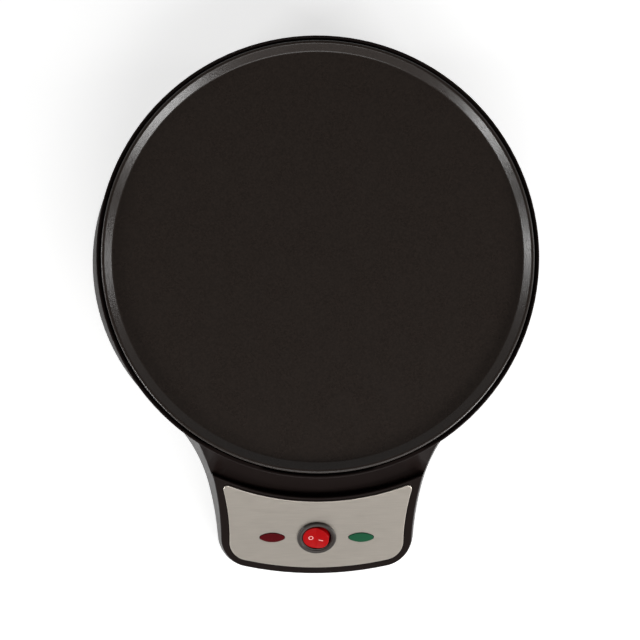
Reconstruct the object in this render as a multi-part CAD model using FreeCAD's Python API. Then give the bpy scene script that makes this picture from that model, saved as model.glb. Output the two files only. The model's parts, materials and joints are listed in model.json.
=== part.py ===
import FreeCAD, Part

import math
import os

# Electric crepe maker: a round non-stick plate in a black housing, with a sloping
# control pod in front. Millimetres, +Z up, the pod towards -Y. The outlines are drawn
# about the plate's axis, and every piece is moved at the end so that the origin is on
# the table under the middle of the object's box.

# Cooking plate
plate_radius = 151.2
plate_thickness = 6.0
plate_edge_depth = 10.0      # outer edge, below the cooking surface
plate_edge_wall = 3.0
cooking_height = 75.0        # cooking surface above the table
rim_height = 5.0             # crest above the cooking surface
rim_slope_width = 4.2
rim_crest_width = 3.2
rim_outer_round = 2.3        # outer shoulder of the rim
rim_crest_round = 0.85
rim_foot_round = 1.4

# Housing, as margins outside the plate
plate_gap = 0.9              # open ring between the plate and the collar
collar_wall = 2.6
collar_step = 1.5            # the skirt's top is set in under the collar
collar_top_drop = 2.0        # collar's top edge below the plate's crest
collar_depth = 16.0
collar_edge_round = 0.9
skirt_wall = 2.6
skirt_side_flare = 12.3      # how far the foot of the skirt stands out at each side
skirt_end_flare = 0.8        # and in front and behind
skirt_side_trim = 9.8        # the foot's side arcs, smaller than the plate by this
skirt_waist_share = 0.42     # part of the side flare left at the waist
waist_height = 26.0
foot_band = 6.0              # upright band at the foot of the skirt
stand_height = 4.0           # skirt's lower edge above the table

# Control pod, in plan, as distances from the plate's edge
pod_reach = 77.0             # front of the pod
pod_front_round = 252.0
pod_corner_round = 24.6
neck_round = 105.7           # hollow arc where the pod leaves the skirt
neck_forward = 38.6          # its centre, beyond the plate's edge
neck_length = 28.0           # it ends this far behind its centre
flank_round = 216.0          # flatter hollow arc beside the panel
pod_draft = 7.0              # degrees
pod_slope = 35.0             # degrees
pod_lip_height = 15.0        # height of the sloping face at the pod's front
ridge_offset = 18.0          # ridge behind the panel, beyond the plate's edge
deck_drop = 6.0              # deck between collar and ridge, below the sloping face
pod_face_wall = 3.0
pod_edge_round = 1.1

# Stainless panel, pressed like a tray over a raised land
panel_back_margin = 3.0      # from the ridge to the panel
panel_front_margin = 5.4     # from the pod's front to the panel
panel_side_margin = 9.3       # from the foot of the pod to the panel's waist
panel_side_round = 149.6      # hollow arc of each side
panel_waist_forward = 46.9    # narrowest place, beyond the plate's edge
panel_back_round = 3.0
panel_front_round = 13.7
panel_sheet = 0.6
panel_proud = 0.8
panel_seat_depth = 0.8
panel_edge_round = 0.55
panel_fit = 0.3

# Rocker switch, on an axis square to the panel
switch_forward = 47.8        # beyond the plate's edge
switch_hole_radius = 12.5
switch_fit = 0.1
bezel_radius = 14.1
bezel_height = 2.0
bezel_round = 0.8
switch_barrel_wall = 2.0
switch_barrel_depth = 17.0
switch_floor = 2.0
switch_barb_reach = 0.9
switch_barb_height = 3.0
rocker_radius = 9.4
rocker_swing = 16.0          # degrees from OFF to ON
rocker_axis_depth = 3.0      # below the panel's face
rocker_middle_height = 4.0   # its top, in the middle, above the axis
rocker_skirt_depth = 3.5
rocker_wall = 1.3
trunnion_radius = 1.5
trunnion_fit = 0.05
plunger_reach = 7.2          # from the rocker's axis to the tip
plunger_radius = 1.0
plunger_tube_wall = 0.8
plunger_tube_share = 0.55    # of the plunger's reach
spring_wire_radius = 0.15
spring_turns = 4
spring_gap = 0.05
lever_gap = 0.3
lever_thickness = 0.6
lever_length = 13.0
lever_width = 4.0
lever_swing = 12.0           # degrees
lever_pin_radius = 0.9
lever_pin_fit = 0.05
lever_pin_share = 0.6        # of the pin's radius, under the strip
lever_pad_inset = 1.5
lever_pad_share = 1.6        # of the strip's thickness
terminal_pitch = 6.5
terminal_width = 4.8
terminal_sheet = 0.8
terminal_length = 6.5
contact_margin = 1.2
fork_side_margin = 0.9
fork_top_margin = 0.5
glow_radius = 1.5
glow_gap = 0.5
glow_drop = 2.5              # its tip below the rocker's skirt

# Indicator lenses and lamps
lens_offset = 31.9           # from the switch to each lens
lens_length = 17.8
lens_width = 8.3
lens_tip_round = 2.0
lens_proud = 0.6
lens_edge_round = 0.45
lens_fit = 0.4
lens_flange = 1.8
lens_flange_thickness = 1.2
lamp_radius = 2.6
lamp_gap = 0.5               # from the lamp's tip to the lens
lamp_holder_wall = 1.4
lamp_holder_length = 12.0
lamp_fit = 0.1

# Base cover, posts and feet
cover_recess = 2.5           # cover's underside above the skirt's lower edge
cover_thickness = 2.5
cover_fit = 0.4
post_inset = 36.2            # posts, inside the plate's edge
post_radius = 6.5
post_screw_seat = 7.0        # thickness of the post's head above the screw
plate_boss_height = 6.0
plate_boss_radius = 6.5
spacer_length = 11.4
spacer_radius = 5.2
foot_radius = 9.0
foot_stem_radius = 3.0
foot_barb_radius = 4.2
foot_barb_height = 3.0
foot_edge_round = 1.0
foot_inset = 23.2            # feet, inside the plate's edge
foot_angles = (60.0, 120.0, 185.0, 355.0)
pod_foot_side = 47.0
pod_foot_forward = 54.8      # beyond the plate's edge
boss_radius = 4.6
boss_height = 34.0
boss_inset = 10.2            # screw bosses, inside the plate's edge
boss_angles = (-18.0, 38.0, 142.0, 198.0)
pod_boss_side = 60.0
pod_boss_forward = 25.8      # beyond the plate's edge
vent_length = 22.0
vent_width = 3.2
vent_count = 20
vent_circles = (38.0, 72.0)

# Screws
plate_screw_radius = 2.0
plate_screw_head = 3.8
plate_screw_head_height = 3.0
plate_screw_grip = 4.5       # length in the plate's boss
plate_screw_spare = 0.5      # hole beyond the screw's tip
cover_screw_radius = 1.5
cover_screw_head = 3.2
cover_screw_head_height = 2.0
cover_screw_grip = 12.0
screw_fit = 0.2
thread_fit = 0.05
small_screw_radius = 1.4
small_screw_head = 2.7
small_screw_head_height = 1.8
small_screw_grip = 4.0       # length in the casting
small_screw_hole = 5.0
slot_half_width = 0.4
slot_depth = 0.7
cross_reach = 2.0
cross_depth = 1.2

# Heater and its controls
element_inset = 56.2          # heater's ring, inside the plate's edge
element_radius = 3.3
element_fit = 0.1
element_gap_angle = 24.0     # open sector in front
element_bend = 9.0
element_tail = 3.0
element_pin_radius = 1.2
element_pin_length = 9.0
ridge_wall = 2.2
ridge_gap_angle = 36.0
clamp_angles = (90.0, 210.0, 330.0)
clamp_width = 10.0
clamp_sheet = 1.0
clamp_length = 34.0
clamp_boss_radius = 4.0
reflector_inset = 10.2        # dish's rim, inside the plate's edge
reflector_flare = 7.0
reflector_rim = 9.0
reflector_sheet = 0.6
reflector_window = (64.0, 106.0)
element_hole_radius = 6.0
thermostat_offset = 30.0     # from the plate's axis, to the front
thermostat_radius = 8.5
thermostat_height = 9.0
thermostat_boss_height = 3.0
thermostat_boss_radius = 17.0
thermostat_flange = 0.8
thermostat_screw_pitch = 24.0
thermostat_ear_radius = 4.0
thermostat_tab_side = 4.5
thermostat_tab_width = 4.8
thermostat_tab_length = 7.0
cut_out_offset = 30.0        # cut-out and earth screw, from the axis to the back
fuse_radius = 2.0
fuse_length = 12.0
fuse_side = 20.0
fuse_clip_sheet = 0.8
fuse_clip_width = 6.0
earth_tail_width = 4.0
earth_tail_length = 12.0

# Mains side
inlet_height = 22.0
inlet_bore_radius = 3.4
inlet_neck_radius = 5.5
inlet_flange_radius = 8.0
inlet_flange_thickness = 2.2
inlet_lip_radius = 6.8
inlet_lip_thickness = 2.5
inlet_fit = 0.1
clamp_inset = 25.2           # cord clamp, inside the plate's edge
saddle_height = 7.0
saddle_depth = 9.0
saddle_half_width = 16.0
bar_height = 5.0
clamp_screw_depth = 5.0      # length in the saddle
clamp_hole_depth = 6.0
clamp_screw_pitch = 22.0
block_inset = 59.2           # terminal block, inside the plate's edge
block_size = (34.0, 18.0, 13.0)
block_ways = 3
block_pitch = 10.5
block_screw_radius = 2.0
block_bore_radius = 1.6
block_screw_drop = 0.5       # screw's top below the block's top
block_entry = 3.0            # length of a lead inside the block
lead_diameter = 2.4
lamp_lead_diameter = 1.4
lead_turn_share = 0.45
lead_stub = 14.0             # straight run of a lead in front of the block
tab_stub = 10.0              # and in front of a thermostat tab
pin_stub = 9.0               # and below a pin of the heater
earth_rise = 14.0            # and below the earth tag
live_tab_run = 14.0          # and beside a tab of the switch
switched_tab_run = 16.0
lamp_tab_run = 5.0
lamp_stub = 4.0

# Ways of the leads: share of the distance, shift sideways, height above the cover
live_way = ((0.14, -7.0, 5.0), (0.34, -13.1, 4.5), (0.57, -13.5, 5.0), (0.75, -8.4, 10.0),
            (0.9, -3.0, 21.0))
neutral_way = ((0.24, 6.6, 5.0), (0.54, 6.9, 5.0), (0.8, 2.8, 10.0), (0.95, 0.4, 20.0))
earth_way = ((0.37, 4.0, 13.0), (0.8, 2.8, 25.0))
switched_way = ((0.13, -0.2, 37.0), (0.41, 2.3, 34.0), (0.75, 0.0, 30.0))
heater_way = ((0.32, -0.6, 36.0), (0.76, -0.4, 29.0))

# Worked out from the sizes above
collar_inner = plate_radius + plate_gap
collar_outer = collar_inner + collar_wall
crest_height = cooking_height + rim_height
collar_top = crest_height - collar_top_drop
collar_low = collar_top - collar_depth
skirt_top_radius = collar_outer - collar_step
skirt_side = plate_radius + skirt_side_flare
skirt_end = plate_radius + skirt_end_flare
skirt_side_round = plate_radius - skirt_side_trim
band_top = stand_height + foot_band
front_reach = plate_radius + pod_reach
ridge_radius = plate_radius + ridge_offset
panel_back_radius = ridge_radius + panel_back_margin
panel_front_radius = front_reach - panel_front_margin
slope_rise = math.tan(math.radians(pod_slope))
deck_ceiling = collar_top - collar_top_drop
plate_underside = cooking_height - plate_thickness
plate_boss_low = plate_underside - plate_boss_height
reflector_top = plate_boss_low - spacer_length
post_top = reflector_top - reflector_sheet
cover_low = stand_height + cover_recess
cover_top = cover_low + cover_thickness
element_height = plate_underside - element_fit - element_radius
switch_reach = plate_radius + switch_forward
axis_shift = (front_reach - collar_outer) / 2.0
seat_level = panel_proud     # panel's face above the pod's sloping face
post_circle = plate_radius - post_inset
foot_circle = plate_radius - foot_inset
boss_circle = plate_radius - boss_inset
element_circle = plate_radius - element_inset
reflector_radius = plate_radius - reflector_inset
reflector_floor_radius = reflector_radius - reflector_flare
clamp_back = plate_radius - clamp_inset
block_back = plate_radius - block_inset
barrel_radius = switch_hole_radius - switch_fit
barrel_bore = barrel_radius - switch_barrel_wall
lever_axis_depth = (rocker_axis_depth + plunger_reach + plunger_radius + lever_gap
                    + lever_thickness + lever_pin_radius * lever_pin_share)
face_stack = panel_proud + pod_face_wall


def slope_height(forward):
    """Height of the pod's sloping face at a distance in front of the plate's axis."""
    return pod_lip_height + (front_reach - forward) * slope_rise


def slope_placement(side=0.0, forward=switch_reach, raised=0.0):
    """Frame whose Z is square to the sloping face and whose Y points up the slope."""
    turn = FreeCAD.Rotation(FreeCAD.Vector(1, 0, 0), pod_slope)
    base = FreeCAD.Vector(side, -forward, slope_height(forward))
    return FreeCAD.Placement(base + turn.multVec(FreeCAD.Vector(0, 0, raised)), turn)


def on_slope(shape, side=0.0, raised=seat_level):
    """Moves a piece drawn about its own axis to its place on the panel."""
    moved = shape.copy()
    moved.Placement = slope_placement(side, switch_reach, raised).multiply(moved.Placement)
    return moved


def slope_point(x, y, z):
    """Point of the switch's own frame, in the plate's frame."""
    return slope_placement(0.0, switch_reach, seat_level).multVec(FreeCAD.Vector(x, y, z))


def polar(radius, angle, height=0.0):
    turned = math.radians(angle)
    return FreeCAD.Vector(radius * math.cos(turned), radius * math.sin(turned), height)


def cylinder(radius, low, high, x=0.0, y=0.0):
    return Part.makeCylinder(radius, high - low, FreeCAD.Vector(x, y, low))


def ring(outer, inner, low, high, x=0.0, y=0.0):
    return cylinder(outer, low, high, x, y).cut(cylinder(inner, low, high, x, y))


def block(x0, x1, y0, y1, z0, z1):
    return Part.makeBox(x1 - x0, y1 - y0, z1 - z0, FreeCAD.Vector(x0, y0, z0))


def fuse_all(shapes):
    return shapes[0].fuse(shapes[1:]).removeSplitter()


def cut_all(shape, tools):
    return shape.cut(tools)


def group(shapes):
    return Part.makeCompound(shapes)


def revolve(points):
    """Solid turned about Z from a closed profile of (radius, height) points."""
    profile = Part.makePolygon([FreeCAD.Vector(r, 0, z) for r, z in points + points[:1]])
    return Part.Face(profile).revolve(FreeCAD.Vector(0, 0, 0), FreeCAD.Vector(0, 0, 1), 360)


def round_edges(shape, chosen, radius):
    """Rounds the edges of a solid that a test on the edge picks out."""
    return shape.makeFillet(radius, [edge for edge in shape.Edges if chosen(edge)])


def is_ring_edge(edge, radius, height):
    point = edge.valueAt(edge.FirstParameter)
    same_radius = abs(math.hypot(point.x, point.y) - radius) < 0.01
    box = edge.BoundBox
    return same_radius and abs(box.ZMin - height) < 0.01 and abs(box.ZMax - height) < 0.01


# An outline is a list of (centre, signed radius): a bulging arc is positive and a hollow
# one negative. Neighbours are tangent, so an inset only takes its width from each radius.

def tangent_point(first, second):
    (c1, r1), (c2, r2) = first, second
    return c1 + (c2 - c1) * (r1 / (r1 - r2))


def arc_edge(arc, start, end):
    centre, radius = arc
    middle = (start - centre) + (end - centre)
    middle.normalize()
    return Part.Arc(start, centre + middle * abs(radius), end).toShape()


def inset_arcs(arcs, inset):
    return [(centre, radius - inset) for centre, radius in arcs]


def closed_outline(arcs, inset=0.0, height=0.0):
    """Closed wire through a ring of tangent arcs."""
    own = inset_arcs(arcs, inset)
    count = len(own)
    joints = [tangent_point(own[i - 1], own[i]) for i in range(count)]
    edges = [arc_edge(own[i], joints[i], joints[(i + 1) % count]) for i in range(count)]
    wire = Part.Wire(edges)
    wire.translate(FreeCAD.Vector(0, 0, height))
    return wire


def open_outline(arcs, inset=0.0, height=0.0):
    """Wire through the inner arcs of a chain, closed by a straight line behind them."""
    own = inset_arcs(arcs, inset)
    joints = [tangent_point(own[i], own[i + 1]) for i in range(len(own) - 1)]
    edges = [arc_edge(own[i + 1], joints[i], joints[i + 1]) for i in range(len(joints) - 1)]
    edges.append(Part.makeLine(joints[-1], joints[0]))
    wire = Part.Wire(edges)
    wire.translate(FreeCAD.Vector(0, 0, height))
    return wire


def prism(wire, height):
    return Part.Face(wire).extrude(FreeCAD.Vector(0, 0, height))


def mirrored(arc):
    centre, radius = arc
    return FreeCAD.Vector(-centre.x, centre.y, centre.z), radius


def two_circle_corner(c1, r1, c2, r2, pick):
    """Crossing of two circles; pick chooses the side."""
    span = c2 - c1
    distance = span.Length
    along = (r1 * r1 - r2 * r2 + distance * distance) / (2.0 * distance)
    across = math.sqrt(r1 * r1 - along * along) * pick
    unit = span * (1.0 / distance)
    return c1 + unit * along + FreeCAD.Vector(-unit.y, unit.x, 0) * across


def oval_arcs(side, end, side_round):
    """Four tangent arcs of an oval: its right side, back, left side and front."""
    offset = side - side_round
    end_round = ((offset ** 2 + end ** 2 - side_round ** 2) / (2.0 * (end - side_round)))
    drop = end_round - end
    return [
        (FreeCAD.Vector(offset, 0, 0), side_round),
        (FreeCAD.Vector(0, -drop, 0), end_round),
        (FreeCAD.Vector(-offset, 0, 0), side_round),
        (FreeCAD.Vector(0, drop, 0), end_round),
    ]


def side_arc():
    return FreeCAD.Vector(skirt_side - skirt_side_round, 0, 0), skirt_side_round


def neck_arc():
    """Hollow arc that leaves the skirt's side arc as a tangent."""
    centre, radius = side_arc()
    forward = plate_radius + neck_forward
    reach = math.sqrt((radius + neck_round) ** 2 - forward ** 2)
    return FreeCAD.Vector(centre.x + reach, -forward, 0), -neck_round


def flank_arc():
    centre, radius = neck_arc()
    rise = neck_length / neck_round
    end = FreeCAD.Vector(-math.sqrt(1.0 - rise * rise), rise, 0)
    return centre + end * (neck_round - flank_round), -flank_round


def flank_side(forward):
    """Half width of the pod's foot at a distance in front of the plate's axis."""
    centre, radius = flank_arc()
    return centre.x - math.sqrt(radius ** 2 - (forward + centre.y) ** 2)


def front_arc():
    return FreeCAD.Vector(0, pod_front_round - front_reach, 0), pod_front_round


def corner_arc():
    """Round corner between the pod's front and its flank."""
    front_centre, front_radius = front_arc()
    flank_centre, flank_radius = flank_arc()
    centre = two_circle_corner(
        front_centre, front_radius - pod_corner_round,
        flank_centre, pod_corner_round - flank_radius, -1)
    return centre, pod_corner_round


def pod_arcs():
    """Chain of arcs from the right side of the skirt, round the pod, to the left side."""
    right = [side_arc(), neck_arc(), flank_arc(), corner_arc()]
    left = [mirrored(arc) for arc in reversed(right)]
    return right + [front_arc()] + left


def panel_outline(inset=0.0):
    """Plan of the panel: its back and front follow the plate, and its sides are hollow."""
    waist = plate_radius + panel_waist_forward
    half_width = flank_side(waist) - panel_side_margin
    side_centre = FreeCAD.Vector(half_width + panel_side_round, -waist, 0)
    axis = FreeCAD.Vector(0, 0, 0)
    back_corner = two_circle_corner(
        axis, panel_back_radius + panel_back_round,
        side_centre, panel_side_round + panel_back_round, -1)
    front_corner = two_circle_corner(
        axis, panel_front_radius - panel_front_round,
        side_centre, panel_side_round + panel_front_round, -1)
    right = [
        (back_corner, panel_back_round),
        (side_centre, -panel_side_round),
        (front_corner, panel_front_round),
    ]
    left = [mirrored(arc) for arc in reversed(right)]
    arcs = [(axis, -panel_back_radius)] + right + [(axis, panel_front_radius)] + left
    return closed_outline(arcs, inset)


def above_slope(offset):
    """Everything above the pod's sloping face, or above a plane beside it."""
    reach = 4.0 * front_reach
    space = Part.makeBox(reach, reach, reach, FreeCAD.Vector(-reach / 2, -reach / 2, 0))
    space.Placement = slope_placement(raised=offset)
    return space


def slope_slab(wire, low, high):
    """Upright prism on a plan outline, kept between two planes beside the slope."""
    tall = prism(wire, 2.0 * crest_height)
    return tall.common(above_slope(low)).cut(above_slope(high))


def loft(wires):
    return Part.makeLoft(wires, True, False)


def ring_section(radius, height, guide):
    """Circle split where the rays to an oval's joints cross it."""
    joints = [vertex.Point for vertex in guide.OrderedVertexes]
    ends = []
    for point in joints:
        angle = math.degrees(math.atan2(point.y, point.x))
        ends.append(polar(radius, angle))
    edges = []
    for i, start in enumerate(ends):
        end = ends[(i + 1) % len(ends)]
        edges.append(arc_edge((FreeCAD.Vector(0, 0, 0), radius), start, end))
    wire = Part.Wire(edges)
    wire.translate(FreeCAD.Vector(0, 0, height))
    return wire


def skirt_solid(inset, low):
    """Filled shape of the skirt under the collar, set in by a wall."""
    foot = oval_arcs(skirt_side, skirt_end, skirt_side_round)
    waist_side = skirt_top_radius + (skirt_side - skirt_top_radius) * skirt_waist_share
    waist_end = (skirt_end + skirt_top_radius) / 2.0
    waist_round = skirt_side_round + (skirt_top_radius - skirt_side_round) * 0.5
    waist = oval_arcs(waist_side, waist_end, waist_round)
    guide = closed_outline(foot, inset)
    sections = [
        closed_outline(foot, inset, band_top),
        closed_outline(waist, inset, waist_height),
        ring_section(skirt_top_radius - inset, collar_low, guide),
    ]
    band = prism(closed_outline(foot, inset, low), band_top - low)
    return band.fuse(loft(sections))


def pod_solid(inset, low, face_drop, deck_depth, ceiling):
    """Filled shape of the pod, with its sloping face, its ridge and the deck behind."""
    top = crest_height + face_drop
    drafted = math.tan(math.radians(pod_draft)) * (top - band_top)
    arcs = pod_arcs()
    band = prism(open_outline(arcs, inset, low), band_top - low)
    upper = Part.makeLoft(
        [open_outline(arcs, inset, band_top), open_outline(arcs, inset + drafted, top)],
        True, True)
    body = band.fuse(upper).removeSplitter()
    reach = 4.0 * front_reach
    over = Part.makeBox(reach, reach, crest_height,
                        FreeCAD.Vector(-reach / 2, -reach / 2, ceiling))
    behind = cylinder(ridge_radius + inset, 0, 2.0 * crest_height)
    deck = behind.common(above_slope(-deck_depth))
    return cut_all(body, [above_slope(-face_drop), deck, over])


def lies_on_face(edge):
    """True for an edge that runs along the pod's sloping face."""
    inverse = slope_placement().inverse()
    steps = [edge.FirstParameter + (edge.LastParameter - edge.FirstParameter) * k / 4.0
             for k in range(5)]
    return all(abs(inverse.multVec(edge.valueAt(step)).z) < 0.01 for step in steps)


def boss_places():
    """Screw bosses of the housing: (x, y, direction of the rib to the wall)."""
    places = []
    for angle in boss_angles:
        point = polar(boss_circle, angle)
        places.append((point.x, point.y, angle))
    forward = plate_radius + pod_boss_forward
    places.append((pod_boss_side, -forward, 0.0))
    places.append((-pod_boss_side, -forward, 180.0))
    return places


def housing_boss(x, y, angle):
    """Boss and rib for one cover screw, up to the height that the wall allows."""
    high = cover_top + boss_height
    post = cylinder(boss_radius, cover_top, high, x, y)
    reach = skirt_side - skirt_top_radius + 2.0 * boss_radius
    rib = block(0, reach + boss_radius, -skirt_wall / 2, skirt_wall / 2, cover_top, high)
    rib.rotate(FreeCAD.Vector(0, 0, 0), FreeCAD.Vector(0, 0, 1), angle)
    rib.translate(FreeCAD.Vector(x, y, 0))
    return post.fuse(rib)


def housing_outer():
    collar = cylinder(collar_outer, collar_low, collar_top)
    collar = round_edges(
        collar, lambda edge: is_ring_edge(edge, collar_outer, collar_top), collar_edge_round)
    pod = pod_solid(0.0, stand_height, 0.0, deck_drop, deck_ceiling)
    pod = round_edges(pod, lies_on_face, pod_edge_round)
    return fuse_all([collar, skirt_solid(0.0, stand_height), pod])


def switch_opening(depth):
    """Round hole for the switch, square to the panel."""
    return on_slope(cylinder(switch_hole_radius, -depth, depth))


def upper_housing():
    """Collar, flared skirt and pod in one moulded shell, open below."""
    outer = housing_outer()
    below = stand_height - 1.0
    collar_bore = cylinder(collar_inner, collar_low, crest_height)
    hollow = [
        skirt_solid(skirt_wall, below),
        collar_bore,
        pod_solid(skirt_wall, below, pod_face_wall, deck_drop + skirt_wall,
                  deck_ceiling - skirt_wall),
    ]
    shell = cut_all(outer, hollow)
    seat = slope_slab(panel_outline(-panel_fit), -panel_seat_depth, crest_height)
    land_inset = panel_sheet + panel_fit
    land = slope_slab(panel_outline(land_inset), -panel_seat_depth, panel_proud - panel_sheet)
    shell = shell.cut(seat).fuse(land)
    bosses = [housing_boss(x, y, angle).common(outer) for x, y, angle in boss_places()]
    shell = shell.fuse(bosses)
    holes = [switch_opening(2.0 * pod_face_wall)]
    holes += [lens_opening(side) for side in (-lens_offset, lens_offset)]
    holes += [cylinder(cover_screw_radius + thread_fit, cover_top,
                       cover_top + cover_screw_grip + 1.0, x, y)
              for x, y, angle in boss_places()]
    holes.append(inlet_cylinder(inlet_neck_radius + inlet_fit, 4.0 * skirt_wall))
    return cut_all(shell, holes).removeSplitter()


def panel_holes():
    holes = [switch_opening(2.0 * pod_face_wall)]
    return holes + [lens_opening(side) for side in (-lens_offset, lens_offset)]


def control_panel():
    """Stainless sheet pressed over the land, with its edge turned down all round."""
    tray = slope_slab(panel_outline(), -panel_seat_depth, panel_proud)
    inverse = slope_placement().inverse()

    def on_top(edge):
        ends = [edge.valueAt(edge.FirstParameter), edge.valueAt(edge.LastParameter)]
        return all(abs(inverse.multVec(point).z - panel_proud) < 0.01 for point in ends)

    tray = round_edges(tray, on_top, panel_edge_round)
    under = slope_slab(panel_outline(panel_sheet), -2.0 * panel_seat_depth,
                       panel_proud - panel_sheet)
    return cut_all(tray, [under] + panel_holes())


# Switch, drawn about its own axis: Z out of the panel, Y up the slope

def turn_y(shape, angle, depth):
    """Turns a piece about a cross axis at a depth below the panel's face."""
    turned = shape.copy()
    turned.rotate(FreeCAD.Vector(0, 0, -depth), FreeCAD.Vector(0, 1, 0), angle)
    return turned


def cross_pin(radius, half_length, depth):
    return Part.makeCylinder(radius, 2.0 * half_length,
                             FreeCAD.Vector(0, -half_length, -depth), FreeCAD.Vector(0, 1, 0))


def switch_housing():
    """Bezel and barrel in one moulding, with two barbs that hold it in the panel."""
    bezel = cylinder(bezel_radius, 0, bezel_height)
    bezel = round_edges(
        bezel, lambda edge: is_ring_edge(edge, bezel_radius, bezel_height), bezel_round)
    barrel = cylinder(barrel_radius, -switch_barrel_depth, 0)
    barbs = []
    for sign in (-1, 1):
        start = sign * (barrel_radius - switch_barrel_wall / 2)
        tip = sign * (barrel_radius + switch_barb_reach)
        profile = Part.makePolygon([
            FreeCAD.Vector(start, -switch_barb_height, -face_stack),
            FreeCAD.Vector(tip, -switch_barb_height, -face_stack),
            FreeCAD.Vector(start, -switch_barb_height, -face_stack - switch_barb_height),
            FreeCAD.Vector(start, -switch_barb_height, -face_stack),
        ])
        barbs.append(Part.Face(profile).extrude(FreeCAD.Vector(0, 2 * switch_barb_height, 0)))
    bore = cylinder(barrel_bore, switch_floor - switch_barrel_depth, bezel_height)
    bearing = cross_pin(trunnion_radius + trunnion_fit, barrel_radius, rocker_axis_depth)
    slots = [terminal_tab(x, terminal_fit=screw_fit / 2) for x in terminal_places()]
    return cut_all(fuse_all([bezel, barrel] + barbs), [bore, bearing] + slots)


def rocker_blank(radius, middle, skirt):
    """Round paddle whose top is a shallow V, in its middle position."""
    lean = math.tan(math.radians(rocker_swing / 2.0))
    low = -rocker_axis_depth - skirt
    high = -rocker_axis_depth + middle
    edge_high = high + radius * lean
    profile = Part.makePolygon([
        FreeCAD.Vector(-radius, -radius, low),
        FreeCAD.Vector(radius, -radius, low),
        FreeCAD.Vector(radius, -radius, edge_high),
        FreeCAD.Vector(0, -radius, high),
        FreeCAD.Vector(-radius, -radius, edge_high),
        FreeCAD.Vector(-radius, -radius, low),
    ])
    bar = Part.Face(profile).extrude(FreeCAD.Vector(0, 2.0 * radius, 0))
    return bar.common(cylinder(radius, low, edge_high))


def at_rest(shape):
    """Tilts a piece of the rocker from its middle position to OFF."""
    return turn_y(shape, -rocker_swing / 2.0, rocker_axis_depth)


def plunger_tube():
    """Tube under the paddle, and its bore."""
    top = -rocker_axis_depth + rocker_middle_height - rocker_wall
    low = -rocker_axis_depth - plunger_reach * plunger_tube_share
    bore = plunger_radius + trunnion_fit
    tube = cylinder(bore + plunger_tube_wall, low, top + rocker_wall / 2)
    return tube, cylinder(bore, low, top)


def switch_rocker():
    """Hollow paddle with its trunnions and the tube that guides the plunger."""
    cap = rocker_blank(rocker_radius, rocker_middle_height, rocker_skirt_depth)
    inside = rocker_blank(rocker_radius - rocker_wall, rocker_middle_height - rocker_wall,
                          rocker_skirt_depth)
    tube, bore = plunger_tube()
    pin_reach = barrel_radius - trunnion_radius / 2.0
    pin = cross_pin(trunnion_radius, pin_reach, rocker_axis_depth)
    middle = cross_pin(trunnion_radius, rocker_radius - rocker_wall, rocker_axis_depth)
    trunnions = pin.cut(middle)
    return at_rest(fuse_all([cap.cut(inside), tube, trunnions]).cut(bore))


def rocker_plunger():
    """Spring-loaded pin with a round tip that tips the contact lever."""
    top = -rocker_axis_depth
    low = -rocker_axis_depth - plunger_reach
    pin = cylinder(plunger_radius, low, top)
    tip = Part.makeSphere(plunger_radius, FreeCAD.Vector(0, 0, low))
    return at_rest(pin.fuse(tip).removeSplitter())


def plunger_spring():
    """Compression spring over the plunger, as a wound wire."""
    low = -rocker_axis_depth + spring_gap
    high = -rocker_axis_depth + rocker_middle_height - rocker_wall - spring_gap
    rise = high - low - 2 * spring_wire_radius
    coil_radius = plunger_radius - spring_wire_radius
    coil = Part.makeHelix(rise / spring_turns, rise, coil_radius)
    start = FreeCAD.Vector(coil_radius, 0, 0)
    profile = Part.Wire(Part.makeCircle(spring_wire_radius, start, FreeCAD.Vector(0, 1, 0)))
    solid = Part.Wire(coil).makePipeShell([profile], True, True)
    solid.translate(FreeCAD.Vector(0, 0, low + spring_wire_radius))
    return at_rest(solid)


def lever_at_rest(shape):
    return turn_y(shape, lever_swing / 2.0, lever_axis_depth)


def contact_lever():
    """Brass seesaw on a round cross pin; its ends tip on to the contacts."""
    top = -lever_axis_depth + lever_pin_radius * lever_pin_share + lever_thickness
    half = lever_length / 2.0
    strip = block(-half, half, -lever_width / 2, lever_width / 2, top - lever_thickness, top)
    pin_half = lever_width / 2 + terminal_sheet + lever_gap
    pin = cross_pin(lever_pin_radius, pin_half, lever_axis_depth)
    pads = [cylinder(lever_width / 3, top - lever_pad_share * lever_thickness, top,
                     sign * (half - lever_pad_inset), 0) for sign in (-1, 1)]
    return lever_at_rest(fuse_all([strip, pin] + pads))


def terminal_places():
    return (-terminal_pitch, 0.0, terminal_pitch)


def terminal_tab(x, terminal_fit=0.0):
    half = terminal_width / 2 + terminal_fit
    thick = terminal_sheet / 2 + terminal_fit
    low = -switch_barrel_depth - terminal_length
    high = -switch_barrel_depth + switch_floor
    return block(x - half, x + half, -thick, thick, low, high)


def contact_level():
    """Top of the fixed contact under the lever's lowest end."""
    reach = lever_length / 2.0 - lever_pad_inset + lever_width / 3
    dip = reach * math.sin(math.radians(lever_swing / 2.0))
    pad = (lever_pad_share - 1.0) * lever_thickness
    under = -lever_axis_depth + lever_pin_radius * lever_pin_share - pad
    return under - dip - lever_gap / 2


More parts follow.
